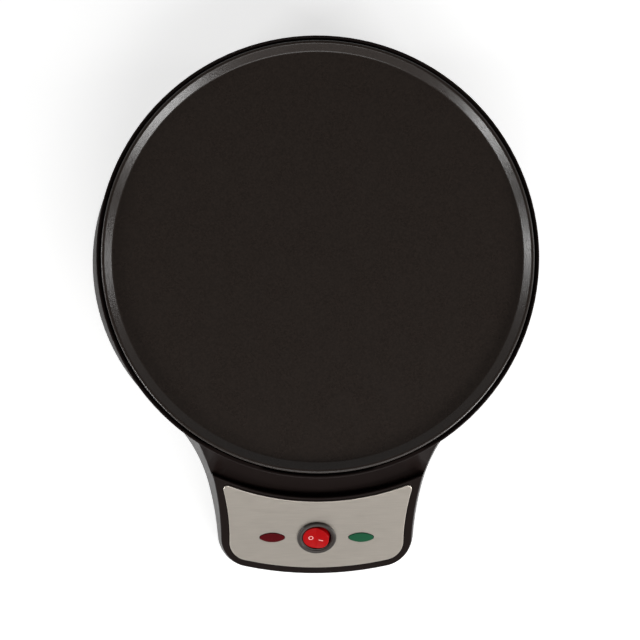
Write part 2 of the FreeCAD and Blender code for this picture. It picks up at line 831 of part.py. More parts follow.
def switch_terminals():
    """Three plug-on tabs: a fork that carries the lever, and a contact on each side."""
    floor = -switch_barrel_depth + switch_floor
    pieces = []
    for x in (-terminal_pitch, terminal_pitch):
        inner = math.copysign(lever_length / 2.0 - lever_pad_inset, x)
        foot = block(min(x, inner) - contact_margin, max(x, inner) + contact_margin,
                     -contact_margin, contact_margin, floor, contact_level())
        pieces.append(terminal_tab(x).fuse(foot).removeSplitter())
    ear_in = lever_width / 2 + lever_gap
    ear_out = ear_in + terminal_sheet
    high = -lever_axis_depth + lever_pin_radius + lever_pin_fit + fork_top_margin
    half = lever_pin_radius + fork_side_margin
    ears = [block(-half, half, sign * ear_in if sign > 0 else -ear_out,
                  ear_out if sign > 0 else -ear_in, floor, high) for sign in (-1, 1)]
    base = block(-half, half, -ear_out, ear_out, floor, floor + terminal_sheet)
    fork = fuse_all([terminal_tab(0.0), base] + ears)
    bore = cross_pin(lever_pin_radius + lever_pin_fit, ear_out, lever_axis_depth)
    pieces.append(fork.cut(bore))
    return group(pieces)


def switch_lamp():
    """Small glow lamp standing on the switch floor beside the lever."""
    floor = -switch_barrel_depth + switch_floor
    side = barrel_bore - glow_radius - glow_gap
    high = -rocker_axis_depth - rocker_skirt_depth - glow_drop
    bulb = cylinder(glow_radius, floor, high, 0, side)
    dome = Part.makeSphere(glow_radius, FreeCAD.Vector(0, side, high))
    return bulb.fuse(dome).removeSplitter()


# Indicator lenses: two flat arcs joined by a small round tip at each side

def almond(grow, low, high):
    """Upright prism on the lens's almond outline."""
    arcs = oval_arcs(lens_length / 2.0, lens_width / 2.0, lens_tip_round)
    return prism(closed_outline(arcs, -grow, low), high - low)


def lens_opening(side):
    return on_slope(almond(lens_fit, -2.0 * face_stack, face_stack), side)


def indicator_lens(side):
    """Clear moulding pushed in from behind, with a low crowned face."""
    stem = almond(0.0, -face_stack, lens_proud)
    stem = round_edges(
        stem, lambda edge: abs(edge.BoundBox.ZMin - lens_proud) < 0.01, lens_edge_round)
    flange = almond(lens_flange, -face_stack - lens_flange_thickness, -face_stack)
    return on_slope(stem.fuse(flange).removeSplitter(), side)


def lamp_holder(side):
    top = -face_stack - lens_flange_thickness
    low = top - lamp_holder_length
    bore = lamp_radius + lamp_fit
    cup = cylinder(bore + lamp_holder_wall, low, top)
    opening = cylinder(bore, low + lamp_holder_wall, top)
    leads = [cylinder(lamp_lead_diameter / 2 + lamp_fit, low, low + lamp_holder_wall, x, 0)
             for x in (-lamp_radius / 2, lamp_radius / 2)]
    return on_slope(cut_all(cup, [opening] + leads), side)


def indicator_lamp(side):
    top = -face_stack - lens_flange_thickness - lamp_gap
    low = -face_stack - lens_flange_thickness - lamp_holder_length + lamp_holder_wall
    glass = cylinder(lamp_radius, low, top - lamp_radius)
    dome = Part.makeSphere(lamp_radius, FreeCAD.Vector(0, 0, top - lamp_radius))
    return on_slope(glass.fuse(dome).removeSplitter(), side)


# Plate, heater and what hangs under the plate

def post_places():
    return [polar(post_circle, angle) for angle in (45.0, 135.0, 225.0, 315.0)]


def clamp_ends():
    """Screw places of the element clamps: one each side of the tube."""
    offset = clamp_length / 2.0 - clamp_boss_radius
    ends = []
    for angle in clamp_angles:
        ends.append(polar(element_circle - offset, angle))
        ends.append(polar(element_circle + offset, angle))
    return ends


def front_wedge(angle, low, high):
    """Sector in front of the axis, as wide as an angle."""
    reach = 2.0 * plate_radius
    half = math.radians(angle / 2.0)
    points = [
        FreeCAD.Vector(0, 0, low),
        FreeCAD.Vector(-reach * math.sin(half), -reach * math.cos(half), low),
        FreeCAD.Vector(reach * math.sin(half), -reach * math.cos(half), low),
        FreeCAD.Vector(0, 0, low),
    ]
    return prism(Part.makePolygon(points), high - low)


def small_hole(x, y, face):
    """Blind hole for a small screw, up from a face of the casting."""
    return cylinder(small_screw_radius + thread_fit, face, face + small_screw_hole, x, y)


def cooking_plate():
    """Cast plate with a raised rim, and the heater's channel and bosses underneath."""
    flat_edge = plate_radius - rim_crest_width - rim_slope_width
    crest_in = plate_radius - rim_crest_width
    low = cooking_height - plate_edge_depth
    edge_in = plate_radius - plate_edge_wall
    body = revolve([
        (0, plate_underside), (edge_in, plate_underside), (edge_in, low), (plate_radius, low),
        (plate_radius, crest_height), (crest_in, crest_height),
        (flat_edge, cooking_height), (0, cooking_height),
    ])
    body = round_edges(
        body, lambda edge: is_ring_edge(edge, flat_edge, cooking_height), rim_foot_round)
    body = round_edges(
        body, lambda edge: is_ring_edge(edge, plate_radius, crest_height), rim_outer_round)
    body = round_edges(
        body, lambda edge: is_ring_edge(edge, crest_in, crest_height), rim_crest_round)
    half = element_radius + element_fit
    ridge = ring(element_circle + half + ridge_wall, element_circle - half - ridge_wall,
                 plate_boss_low, plate_underside)
    channel = ring(element_circle + half, element_circle - half,
                   plate_boss_low, plate_underside)
    ridge = cut_all(ridge, [channel, front_wedge(ridge_gap_angle, plate_boss_low,
                                                 plate_underside)])
    clamp_low = element_height - element_radius
    bosses = [cylinder(plate_boss_radius, plate_boss_low, plate_underside, p.x, p.y)
              for p in post_places()]
    bosses += [cylinder(clamp_boss_radius, clamp_low, plate_underside, p.x, p.y)
               for p in clamp_ends()]
    bosses.append(cylinder(thermostat_boss_radius, plate_underside - thermostat_boss_height,
                           plate_underside, 0, -thermostat_offset))
    bosses.append(cylinder(clamp_boss_radius, plate_underside - thermostat_boss_height,
                           plate_underside, fuse_side, cut_out_offset))
    bosses.append(cylinder(clamp_boss_radius, plate_boss_low, plate_underside,
                           -fuse_side, cut_out_offset))
    holes = [cylinder(plate_screw_radius + thread_fit, plate_boss_low,
                      plate_boss_low + plate_screw_grip + plate_screw_spare,
                      p.x, p.y)
             for p in post_places()]
    boss_face = plate_underside - thermostat_boss_height
    holes += [small_hole(p.x, p.y, clamp_low) for p in clamp_ends()]
    holes += [small_hole(x, -thermostat_offset, boss_face) for x in thermostat_screw_sides()]
    holes.append(small_hole(fuse_side, cut_out_offset, boss_face))
    holes.append(small_hole(-fuse_side, cut_out_offset, plate_boss_low))
    return cut_all(fuse_all([body, ridge] + bosses), holes)


def element_end(sign):
    """End of the heater's ring, and the direction in which the tube leaves it."""
    angle = 270.0 + sign * element_gap_angle / 2.0
    point = polar(element_circle, angle, element_height)
    turned = math.radians(angle)
    heading = FreeCAD.Vector(math.sin(turned), -math.cos(turned), 0) * sign
    return point, heading


def element_foot(sign):
    """Lower end of the heater's tail."""
    point, heading = element_end(sign)
    return (point + heading * element_bend
            - FreeCAD.Vector(0, 0, element_bend + element_tail))


def heating_element():
    """Tubular heater: an open ring whose two ends turn down through the reflector."""
    edges = []
    start, heading = element_end(1)
    end, other = element_end(-1)
    half_turn = math.sqrt(0.5)
    down = FreeCAD.Vector(0, 0, -1)

    def bend(point, way):
        centre = point + down * element_bend
        middle = centre + (way - down) * (half_turn * element_bend)
        return Part.Arc(point, middle, centre + way * element_bend).toShape()

    back = FreeCAD.Vector(0, element_circle, element_height)
    left = FreeCAD.Vector(-element_circle, 0, element_height)
    right = FreeCAD.Vector(element_circle, 0, element_height)
    foot_right = element_foot(1)
    foot_left = element_foot(-1)
    tail = down * element_tail
    edges.append(Part.makeLine(foot_right, foot_right - tail))
    edges.append(bend(start, heading))
    edges.append(Part.Arc(start, polar(element_circle, -30.0, element_height), right).toShape())
    edges.append(Part.Arc(right, polar(element_circle, 45.0, element_height), back).toShape())
    edges.append(Part.Arc(back, polar(element_circle, 135.0, element_height), left).toShape())
    edges.append(Part.Arc(left, polar(element_circle, 210.0, element_height), end).toShape())
    edges.append(bend(end, other))
    edges.append(Part.makeLine(foot_left - tail, foot_left))
    path = Part.Wire(Part.__sortEdges__(edges))
    profile = Part.Wire(Part.makeCircle(element_radius, foot_right, down))
    return path.makePipeShell([profile], True, False)


def element_pins():
    pins = []
    for sign in (-1, 1):
        foot = element_foot(sign)
        pins.append(cylinder(element_pin_radius, foot.z - element_pin_length, foot.z,
                             foot.x, foot.y))
    return group(pins)


def element_clamps():
    """Steel straps across the underside of the heater's tube."""
    high = element_height - element_radius
    straps = []
    for angle in clamp_angles:
        inner = element_circle - clamp_length / 2.0
        strap = block(inner, inner + clamp_length, -clamp_width / 2, clamp_width / 2,
                      high - clamp_sheet, high)
        strap.rotate(FreeCAD.Vector(0, 0, 0), FreeCAD.Vector(0, 0, 1), angle)
        straps.append(strap)
    holes = [cylinder(small_screw_radius + screw_fit, high - clamp_sheet, high, p.x, p.y)
             for p in clamp_ends()]
    return group([cut_all(strap, holes) for strap in straps])


def small_screw(x, y, seat, grip):
    """Pan-head screw driven up from below a seat."""
    head = cylinder(small_screw_head, seat - small_screw_head_height, seat, x, y)
    shank = cylinder(small_screw_radius, seat, seat + grip, x, y)
    low = seat - small_screw_head_height
    slot = block(x - small_screw_head, x + small_screw_head,
                 y - slot_half_width, y + slot_half_width, low, low + slot_depth)
    return head.fuse(shank).removeSplitter().cut(slot)


def element_screws():
    seat = element_height - element_radius - clamp_sheet
    grip = clamp_sheet + small_screw_grip
    return group([small_screw(p.x, p.y, seat, grip) for p in clamp_ends()])


def thermostat_screw_sides():
    return (-thermostat_screw_pitch / 2.0, thermostat_screw_pitch / 2.0)


def thermostat():
    """Snap-disc thermostat: a ceramic cup on a flange with two ears, and two tabs."""
    face = plate_underside - thermostat_boss_height
    y = -thermostat_offset
    cup = cylinder(thermostat_radius, face - thermostat_height, face, 0, y)
    ears = block(-thermostat_screw_pitch / 2, thermostat_screw_pitch / 2,
                 y - thermostat_ear_radius, y + thermostat_ear_radius,
                 face - thermostat_flange, face)
    ends = [cylinder(thermostat_ear_radius, face - thermostat_flange, face, x, y)
            for x in thermostat_screw_sides()]
    body = fuse_all([cup, ears] + ends)
    holes = [cylinder(small_screw_radius + screw_fit, face - thermostat_flange, face, x, y)
             for x in thermostat_screw_sides()]
    return cut_all(body, holes)


def thermostat_tabs():
    low = plate_underside - thermostat_boss_height - thermostat_height
    y = -thermostat_offset
    half = thermostat_tab_width / 2
    thick = terminal_sheet / 2
    return group([block(x - half, x + half, y - thick, y + thick,
                        low - thermostat_tab_length, low)
                  for x in (-thermostat_tab_side, thermostat_tab_side)])


def thermostat_screws():
    seat = plate_underside - thermostat_boss_height - thermostat_flange
    grip = thermostat_flange + small_screw_grip
    return group([small_screw(x, -thermostat_offset, seat, grip)
                  for x in thermostat_screw_sides()])


def thermal_fuse():
    """Metal-cased cut-out lying under a boss of the plate."""
    start = fuse_side - fuse_length - clamp_boss_radius
    end = FreeCAD.Vector(start, cut_out_offset, plate_underside - fuse_radius)
    return Part.makeCylinder(fuse_radius, fuse_length, end, FreeCAD.Vector(1, 0, 0))


def fuse_clip():
    """Bent strap that holds the cut-out against the plate."""
    face = plate_underside - thermostat_boss_height
    y = cut_out_offset
    half = fuse_clip_width / 2
    x = fuse_side - fuse_length / 2 - clamp_boss_radius
    foot = block(x + half - fuse_clip_sheet, fuse_side + clamp_boss_radius, y - half, y + half,
                 face - fuse_clip_sheet, face)
    foot = foot.cut(cylinder(small_screw_radius + screw_fit, face - fuse_clip_sheet, face,
                             fuse_side, y))
    lowest = plate_underside - 2 * fuse_radius
    under = block(x - half, x + half, y - half, y + half, lowest - fuse_clip_sheet, lowest)
    web = block(x + half - fuse_clip_sheet, x + half, y - half, y + half,
                lowest - fuse_clip_sheet, face)
    return fuse_all([foot, under, web]).cut(thermal_fuse())


def fuse_screw():
    seat = plate_underside - thermostat_boss_height - fuse_clip_sheet
    return small_screw(fuse_side, cut_out_offset, seat, fuse_clip_sheet + small_screw_grip)


def earth_screw():
    seat = plate_boss_low - terminal_sheet
    return small_screw(-fuse_side, cut_out_offset, seat, terminal_sheet + small_screw_grip)


def earth_tag():
    """Ring tag under the earth screw, with a tail for the lead."""
    x = -fuse_side
    y = cut_out_offset
    low = plate_boss_low - terminal_sheet
    half = earth_tail_width / 2
    eye = cylinder(clamp_boss_radius, low, plate_boss_low, x, y)
    tail = block(x - half, x + half, y, y + earth_tail_length, low, plate_boss_low)
    hole = cylinder(small_screw_radius + screw_fit, low, plate_boss_low, x, y)
    return eye.fuse(tail).removeSplitter().cut(hole)


def heat_reflector():
    """Shallow steel dish that throws the heat back up to the plate."""
    low = post_top
    dish = revolve([
        (0, low), (reflector_floor_radius, low), (reflector_radius, low + reflector_rim),
        (reflector_radius - reflector_sheet, low + reflector_rim),
        (reflector_floor_radius - reflector_sheet, low + reflector_sheet),
        (0, low + reflector_sheet),
    ])
    half_x, half_y = reflector_window[0] / 2, reflector_window[1] / 2
    holes = [block(-half_x, half_x, -half_y, half_y, low, reflector_top)]
    holes += [cylinder(plate_screw_radius + screw_fit, low, reflector_top, p.x, p.y)
              for p in post_places()]
    for sign in (-1, 1):
        foot = element_foot(sign)
        holes.append(cylinder(element_hole_radius, low, reflector_top, foot.x, foot.y))
    return cut_all(dish, holes)


def plate_spacers():
    bore = plate_screw_radius + screw_fit
    return group([ring(spacer_radius, bore, reflector_top, plate_boss_low, p.x, p.y)
                  for p in post_places()])


def plate_screws():
    """Long screws from inside the posts, through reflector and spacer into the plate."""
    seat = post_top - post_screw_seat
    screws = []
    for p in post_places():
        head = cylinder(plate_screw_head, seat - plate_screw_head_height, seat, p.x, p.y)
        shank = cylinder(plate_screw_radius, seat, plate_boss_low + plate_screw_grip, p.x, p.y)
        socket = cylinder(plate_screw_head / 2, seat - plate_screw_head_height,
                          seat - plate_screw_head_height / 2, p.x, p.y)
        screws.append(head.fuse(shank).removeSplitter().cut(socket))
    return group(screws)


# Base cover and what stands on it

def foot_places():
    places = [polar(foot_circle, angle) for angle in foot_angles]
    forward = plate_radius + pod_foot_forward
    places.append(FreeCAD.Vector(pod_foot_side, -forward, 0))
    places.append(FreeCAD.Vector(-pod_foot_side, -forward, 0))
    return places


def base_arcs():
    """Whole foot outline: the pod in front and the skirt's oval behind."""
    foot = oval_arcs(skirt_side, skirt_end, skirt_side_round)
    rear = foot[1]
    return pod_arcs() + [rear]


def vents():
    """Rounded slots in two rings round the middle of the cover."""
    slots = []
    for start in vent_circles:
        for k in range(vent_count):
            half = vent_width / 2
            slot = block(start, start + vent_length, -half, half, cover_low, cover_top)
            ends = [cylinder(half, cover_low, cover_top, x, 0)
                    for x in (start, start + vent_length)]
            slot = slot.fuse(ends)
            slot.rotate(FreeCAD.Vector(0, 0, 0), FreeCAD.Vector(0, 0, 1), 360.0 * k / vent_count)
            slots.append(slot)
    return slots


def bottom_cover():
    """Base tray with the plate's posts, the cord saddle, vents and foot holes."""
    outline = closed_outline(base_arcs(), skirt_wall + cover_fit, cover_low)
    sheet = prism(outline, cover_thickness)
    posts = [cylinder(post_radius, cover_low, post_top, p.x, p.y) for p in post_places()]
    saddle = block(-saddle_half_width, saddle_half_width,
                   clamp_back - saddle_depth / 2, clamp_back + saddle_depth / 2,
                   cover_low, cover_top + saddle_height)
    holes = vents()
    seat = post_top - post_screw_seat
    holes += [cylinder(plate_screw_head + screw_fit, cover_low, seat, p.x, p.y)
              for p in post_places()]
    holes += [cylinder(plate_screw_radius + screw_fit, seat, post_top, p.x, p.y)
              for p in post_places()]
    holes += [cylinder(foot_stem_radius + screw_fit / 2, cover_low, cover_top, p.x, p.y)
              for p in foot_places()]
    holes += [cylinder(cover_screw_radius + screw_fit, cover_low, cover_top, x, y)
              for x, y, angle in boss_places()]
    holes.append(clamp_groove())
    saddle_top = cover_top + saddle_height
    holes += [cylinder(small_screw_radius + thread_fit, saddle_top - clamp_hole_depth,
                       saddle_top, x, clamp_back) for x in clamp_screw_sides()]
    return cut_all(fuse_all([sheet, saddle] + posts), holes)


def clamp_groove():
    """Round channel for the mains cord, half in the saddle and half in the bar."""
    return Part.makeCylinder(
        inlet_bore_radius, 2.0 * saddle_depth,
        FreeCAD.Vector(0, clamp_back - saddle_depth, cover_top + saddle_height),
        FreeCAD.Vector(0, 1, 0))


def clamp_screw_sides():
    return (-clamp_screw_pitch / 2.0, clamp_screw_pitch / 2.0)


def cord_clamp():
    """Bar that presses the mains cord into the saddle."""
    low = cover_top + saddle_height
    bar = block(-saddle_half_width, saddle_half_width,
                clamp_back - saddle_depth / 2, clamp_back + saddle_depth / 2,
                low, low + bar_height)
    holes = [cylinder(small_screw_radius + screw_fit, low, low + bar_height, x, clamp_back)
             for x in clamp_screw_sides()]
    return cut_all(bar, [clamp_groove()] + holes)


def clamp_screws():
    seat = cover_top + saddle_height + bar_height
    screws = []
    for x in clamp_screw_sides():
        head = cylinder(small_screw_head, seat, seat + small_screw_head_height, x, clamp_back)
        shank = cylinder(small_screw_radius, seat - bar_height - clamp_screw_depth, seat,
                         x, clamp_back)
        top = seat + small_screw_head_height
        slot = block(x - small_screw_head, x + small_screw_head,
                     clamp_back - slot_half_width, clamp_back + slot_half_width,
                     top - slot_depth, top)
        screws.append(head.fuse(shank).removeSplitter().cut(slot))
    return group(screws)


def cover_screws():
    """Screws from below into the housing's bosses."""
    screws = []
    for x, y, angle in boss_places():
        head = cylinder(cover_screw_head, cover_low - cover_screw_head_height, cover_low, x, y)
        shank = cylinder(cover_screw_radius, cover_low,
                         cover_top + cover_screw_grip, x, y)
        low = cover_low - cover_screw_head_height
        cross = [block(x - cross_reach, x + cross_reach, y - slot_half_width,
                       y + slot_half_width, low, low + cross_depth),
                 block(x - slot_half_width, x + slot_half_width, y - cross_reach,
                       y + cross_reach, low, low + cross_depth)]
        screws.append(cut_all(head.fuse(shank).removeSplitter(), cross))
    return group(screws)


def rubber_feet():
    """Push-in feet: a wide pad, a stem through the cover and a barb above it."""
    feet = []
    for p in foot_places():
        pad = cylinder(foot_radius, 0, cover_low, p.x, p.y)
        pad = round_edges(pad, lambda edge: abs(edge.BoundBox.ZMax) < 0.01, foot_edge_round)
        stem = cylinder(foot_stem_radius, cover_low, cover_top, p.x, p.y)
        barb = Part.makeCone(foot_barb_radius, foot_stem_radius * 0.7, foot_barb_height,
                             FreeCAD.Vector(p.x, p.y, cover_top))
        feet.append(fuse_all([pad, stem, barb]))
    return group(feet)


# Mains inlet and wiring

def inlet_cylinder(radius, half_length):
    """Cylinder along the cord's way through the back of the skirt."""
    return Part.makeCylinder(radius, 2.0 * half_length,
                             FreeCAD.Vector(0, skirt_end - half_length, inlet_height),
                             FreeCAD.Vector(0, 1, 0))


def inlet_outer_face():
    """Where the outer face of the bush stands, behind the plate's axis."""
    return skirt_end + inlet_flange_thickness


def cord_inlet():
    """Flanged bush snapped into the skirt, bored for the mains cord."""
    outer_face = inlet_outer_face()
    inner_face = skirt_end - skirt_wall - inlet_lip_thickness
    direction = FreeCAD.Vector(0, 1, 0)
    flange = Part.makeCylinder(inlet_flange_radius, outer_face - skirt_end + skirt_wall / 2,
                               FreeCAD.Vector(0, skirt_end - skirt_wall / 2, inlet_height),
                               direction)
    flange = flange.cut(skirt_solid(0.0, stand_height))
    lip = Part.makeCylinder(inlet_lip_radius, inlet_lip_thickness + skirt_wall,
                            FreeCAD.Vector(0, inner_face, inlet_height), direction)
    lip = lip.common(skirt_solid(skirt_wall, stand_height))
    neck = Part.makeCylinder(inlet_neck_radius, outer_face - inner_face,
                             FreeCAD.Vector(0, inner_face, inlet_height), direction)
    bore = Part.makeCylinder(inlet_bore_radius, outer_face - inner_face,
                             FreeCAD.Vector(0, inner_face, inlet_height), direction)
    return fuse_all([flange, lip, neck]).cut(bore)


def block_ways_x():
    middle = (block_ways - 1) / 2.0
    return [(k - middle) * block_pitch for k in range(block_ways)]


def terminal_block():
    """Moulded connector on the cover, with a through bore and two screws for each way."""
    width, depth, height = block_size
    body = block(-width / 2, width / 2, block_back - depth / 2, block_back + depth / 2,
                 cover_top, cover_top + height)
    holes = []
    for x in block_ways_x():
        front = FreeCAD.Vector(x, block_back - depth / 2, block_lead_height())
        holes.append(Part.makeCylinder(block_bore_radius, depth, front,
                                       FreeCAD.Vector(0, 1, 0)))
        for y in (block_back - depth / 4, block_back + depth / 4):
            holes.append(cylinder(block_screw_radius + thread_fit, block_lead_height(),
                                  cover_top + height, x, y))
    return cut_all(body, holes)


def block_lead_height():
    return cover_top + block_size[2] / 2.0


def block_screws():
    width, depth, height = block_size
    top = cover_top + height - block_screw_drop
    screws = []
    for x in block_ways_x():
        for y in (block_back - depth / 4, block_back + depth / 4):
            body = cylinder(block_screw_radius, block_lead_height() + block_bore_radius, top, x, y)
            slot = block(x - block_screw_radius, x + block_screw_radius,
                         y - slot_half_width, y + slot_half_width, top - slot_depth, top)
            screws.append(body.cut(slot))
    return group(screws)


def lead(pts, diameter):
    """Insulated lead along straight runs joined by tangent arcs."""
    edges = []
    start = pts[0]
    for i in range(1, len(pts) - 1):
        before = pts[i - 1] - pts[i]
        after = pts[i + 1] - pts[i]
        trim = lead_turn_share * min(before.Length, after.Length)
        a = FreeCAD.Vector(before).normalize()
        b = FreeCAD.Vector(after).normalize()
        half = a.getAngle(b) / 2.0
        first = pts[i] + a * trim
        last = pts[i] + b * trim
        bisector = (a + b).normalize()
        centre = pts[i] + bisector * (trim / math.cos(half))
        middle = centre - bisector * (trim * math.tan(half))
        edges.append(Part.makeLine(start, first))
        edges.append(Part.Arc(first, middle, last).toShape())
        start = last
    edges.append(Part.makeLine(start, pts[-1]))
    heading = (pts[1] - pts[0]).normalize()
    profile = Part.Wire(Part.makeCircle(diameter / 2, pts[0], heading))
    return Part.Wire(edges).makePipeShell([profile], True, False)


def routed_lead(start, way, end):
    """Lead from one terminal to another, past the points of its way."""
    run = FreeCAD.Vector(end[0].x - start[-1].x, end[0].y - start[-1].y, 0)
    across = FreeCAD.Vector(-run.y, run.x, 0).normalize()
    points = []
    for share, side, height in way:
        point = start[-1] + run * share + across * side
        points.append(FreeCAD.Vector(point.x, point.y, cover_top + height))
    return lead(start + points + end, lead_diameter)


def tab_end(x, away, run):
    """Last two points of a lead that ends square on the side of a switch tab."""
    depth = -switch_barrel_depth - 0.6 * terminal_length
    face = away * terminal_sheet / 2
    return [slope_point(x, face + away * run, depth), slope_point(x, face, depth)]


def block_start(way):
    """First two points of a lead that leaves the front of the terminal block."""
    x = block_ways_x()[way]
    face = block_back - block_size[1] / 2
    return [FreeCAD.Vector(x, face + block_entry, block_lead_height()),
            FreeCAD.Vector(x, face - lead_stub, block_lead_height())]


def thermostat_start(side):
    """First two points of a lead that leaves the front of a thermostat tab."""
    face = -thermostat_offset - terminal_sheet / 2
    low = plate_underside - thermostat_boss_height - thermostat_height
    height = low - 0.6 * thermostat_tab_length
    return [FreeCAD.Vector(side, face, height), FreeCAD.Vector(side, face - tab_stub, height)]


def pin_end(sign):
    """Last two points of a lead that rises to a pin of the heater."""
    foot = element_foot(sign)
    end = foot.z - element_pin_length
    return [FreeCAD.Vector(foot.x, foot.y, end - pin_stub), FreeCAD.Vector(foot.x, foot.y, end)]


def tag_end():
    """Last two points of a lead that rises to the tail of the earth tag."""
    y = cut_out_offset + 0.75 * earth_tail_length
    height = plate_boss_low - terminal_sheet
    return [FreeCAD.Vector(-fuse_side, y, height - earth_rise),
            FreeCAD.Vector(-fuse_side, y, height)]


def live_lead():
    return routed_lead(block_start(0), live_way, tab_end(0.0, 1, live_tab_run))


def neutral_lead():
    return routed_lead(block_start(1), neutral_way, pin_end(-1))


def earth_lead():
    return routed_lead(block_start(2), earth_way, tag_end())


def switched_lead():
    end = tab_end(-terminal_pitch, 1, switched_tab_run)
    return routed_lead(thermostat_start(-thermostat_tab_side), switched_way, end)


def heater_lead():
    return routed_lead(thermostat_start(thermostat_tab_side), heater_way, pin_end(1))


def lamp_lead(sign):
    """Thin lead from a lamp holder to the switch tab on the same side."""
    depth = -face_stack - lens_flange_thickness - lamp_holder_length
    start = sign * (lens_offset - lamp_radius / 2)
    halfway = (start + sign * terminal_pitch) / 2
    way = [slope_point(start, 0, depth), slope_point(start, 0, depth - lamp_stub),
           slope_point(halfway, -lamp_stub, depth - lamp_tab_run)]
    return lead(way + tab_end(sign * terminal_pitch, -1, lamp_tab_run), lamp_lead_diameter)


def named_parts():
    """Every node of the object, by name."""
    return {
        "cooking_plate": cooking_plate(),
        "heating_element": heating_element(),
        "element_pins": element_pins(),
        "element_clamps": element_clamps(),
        "element_screws": element_screws(),
        "thermostat": thermostat(),
        "thermostat_tabs": thermostat_tabs(),
        "thermostat_screws": thermostat_screws(),
        "thermal_fuse": thermal_fuse(),
        "fuse_clip": fuse_clip(),
        "fuse_screw": fuse_screw(),
        "earth_tag": earth_tag(),
        "earth_screw": earth_screw(),
        "heat_reflector": heat_reflector(),
        "plate_spacers": plate_spacers(),
        "plate_screws": plate_screws(),
        "upper_housing": upper_housing(),
        "control_panel": control_panel(),
        "switch_housing": on_slope(switch_housing()),
        "switch_rocker": on_slope(switch_rocker()),
        "rocker_plunger": on_slope(rocker_plunger()),
        "plunger_spring": on_slope(plunger_spring()),
        "contact_lever": on_slope(contact_lever()),
        "switch_terminals": on_slope(switch_terminals()),
        "switch_lamp": on_slope(switch_lamp()),
        "red_lens": indicator_lens(-lens_offset),
        "green_lens": indicator_lens(lens_offset),
        "lamp_holders": group([lamp_holder(-lens_offset), lamp_holder(lens_offset)]),
        "power_lamp": indicator_lamp(-lens_offset),
        "ready_lamp": indicator_lamp(lens_offset),
        "bottom_cover": bottom_cover(),
        "cover_screws": cover_screws(),
        "rubber_feet": rubber_feet(),
        "cord_inlet": cord_inlet(),
        "cord_clamp": cord_clamp(),
        "clamp_screws": clamp_screws(),
        "terminal_block": terminal_block(),
        "block_screws": block_screws(),
        "live_lead": live_lead(),
        "neutral_lead": neutral_lead(),
        "earth_lead": earth_lead(),
        "switched_lead": switched_lead(),
        "heater_lead": heater_lead(),
        "lamp_leads": group([lamp_lead(-1), lamp_lead(1)]),
    }


def main():
    os.makedirs("parts", exist_ok=True)
    shift = FreeCAD.Vector(0, axis_shift, 0)
    for name, shape in named_parts().items():
        placed = shape.copy()
        placed.translate(shift)
        placed.exportStep("parts/" + name + ".step")
        box = placed.optimalBoundingBox(False)
        print(name, len(placed.Solids), "solids", "valid" if placed.isValid() else "INVALID",
              "volume %.1f" % placed.Volume,
              "X %.2f %.2f Y %.2f %.2f Z %.2f %.2f" % (box.XMin, box.XMax, box.YMin, box.YMax,
                                                     box.ZMin, box.ZMax))


main()
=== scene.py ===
# %% [markdown]
# An electric crepe maker, dressed for a studio picture.
#
# The frame holds every piece of the appliance at its real size, in metres. This lesson
# gives the pieces that show a finer mesh, and gives every piece a finish. The plate's axis
# stands a little behind the origin, and the control pod points towards -Y.

# %% The frame
import json
import math

import bpy
from mathutils import Matrix, Vector


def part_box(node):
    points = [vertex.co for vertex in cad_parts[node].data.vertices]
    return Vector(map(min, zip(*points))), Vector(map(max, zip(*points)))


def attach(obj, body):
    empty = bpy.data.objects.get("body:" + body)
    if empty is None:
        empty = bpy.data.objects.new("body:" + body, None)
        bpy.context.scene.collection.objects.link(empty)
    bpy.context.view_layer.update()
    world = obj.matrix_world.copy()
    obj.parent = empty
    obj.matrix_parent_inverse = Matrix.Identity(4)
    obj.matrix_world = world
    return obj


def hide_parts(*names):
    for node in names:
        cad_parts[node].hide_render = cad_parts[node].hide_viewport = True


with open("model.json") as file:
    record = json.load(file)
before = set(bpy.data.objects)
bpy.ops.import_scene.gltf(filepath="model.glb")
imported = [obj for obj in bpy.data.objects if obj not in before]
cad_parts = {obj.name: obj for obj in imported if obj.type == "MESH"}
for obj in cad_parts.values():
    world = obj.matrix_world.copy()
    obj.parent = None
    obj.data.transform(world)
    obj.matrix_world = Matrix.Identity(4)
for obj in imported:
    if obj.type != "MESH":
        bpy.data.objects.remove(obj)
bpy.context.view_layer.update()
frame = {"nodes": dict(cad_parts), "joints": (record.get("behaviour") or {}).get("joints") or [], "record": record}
nodes = frame["nodes"]
MM = 0.001
print("pieces in the frame:", len(nodes))

# %% [markdown]
# Operators act on whatever is selected, and the frame comes in with everything selected. So
# each step starts from a clean selection. The small helpers below do that, pick edges by a
# test on their place, and leave a finished piece with its place in its mesh.

# %% Helpers for selection and editing


def deselect_all():
    if bpy.context.object and bpy.context.object.mode != "OBJECT":
        bpy.ops.object.mode_set(mode="OBJECT")
    bpy.ops.object.select_all(action="DESELECT")


def activate(obj):
    deselect_all()
    obj.select_set(True)
    bpy.context.view_layer.objects.active = obj


def pick_edges(obj, test):
    """Selects the edges whose two ends pass a test, and stays in edit mode."""
    activate(obj)
    bpy.ops.object.mode_set(mode="EDIT")
    bpy.ops.mesh.select_mode(type="EDGE")
    bpy.ops.mesh.select_all(action="DESELECT")
    bpy.ops.object.mode_set(mode="OBJECT")
    points = obj.data.vertices
    for edge in obj.data.edges:
        first, second = (points[i].co for i in edge.vertices)
        edge.select = test(first, second)
    bpy.ops.object.mode_set(mode="EDIT")


def settle(obj):
    """Moves an object's place into its mesh, with its origin at the world's."""
    activate(obj)
    bpy.ops.object.transform_apply(location=True, rotation=True, scale=True)


def smooth(obj, degrees):
    """Shades smooth, but for edges that turn by more than an angle."""
    activate(obj)
    bpy.ops.object.shade_smooth_by_angle(angle=math.radians(degrees))


def apply_modifiers(obj):
    activate(obj)
    for modifier in list(obj.modifiers):
        bpy.ops.object.modifier_apply(modifier=modifier.name)


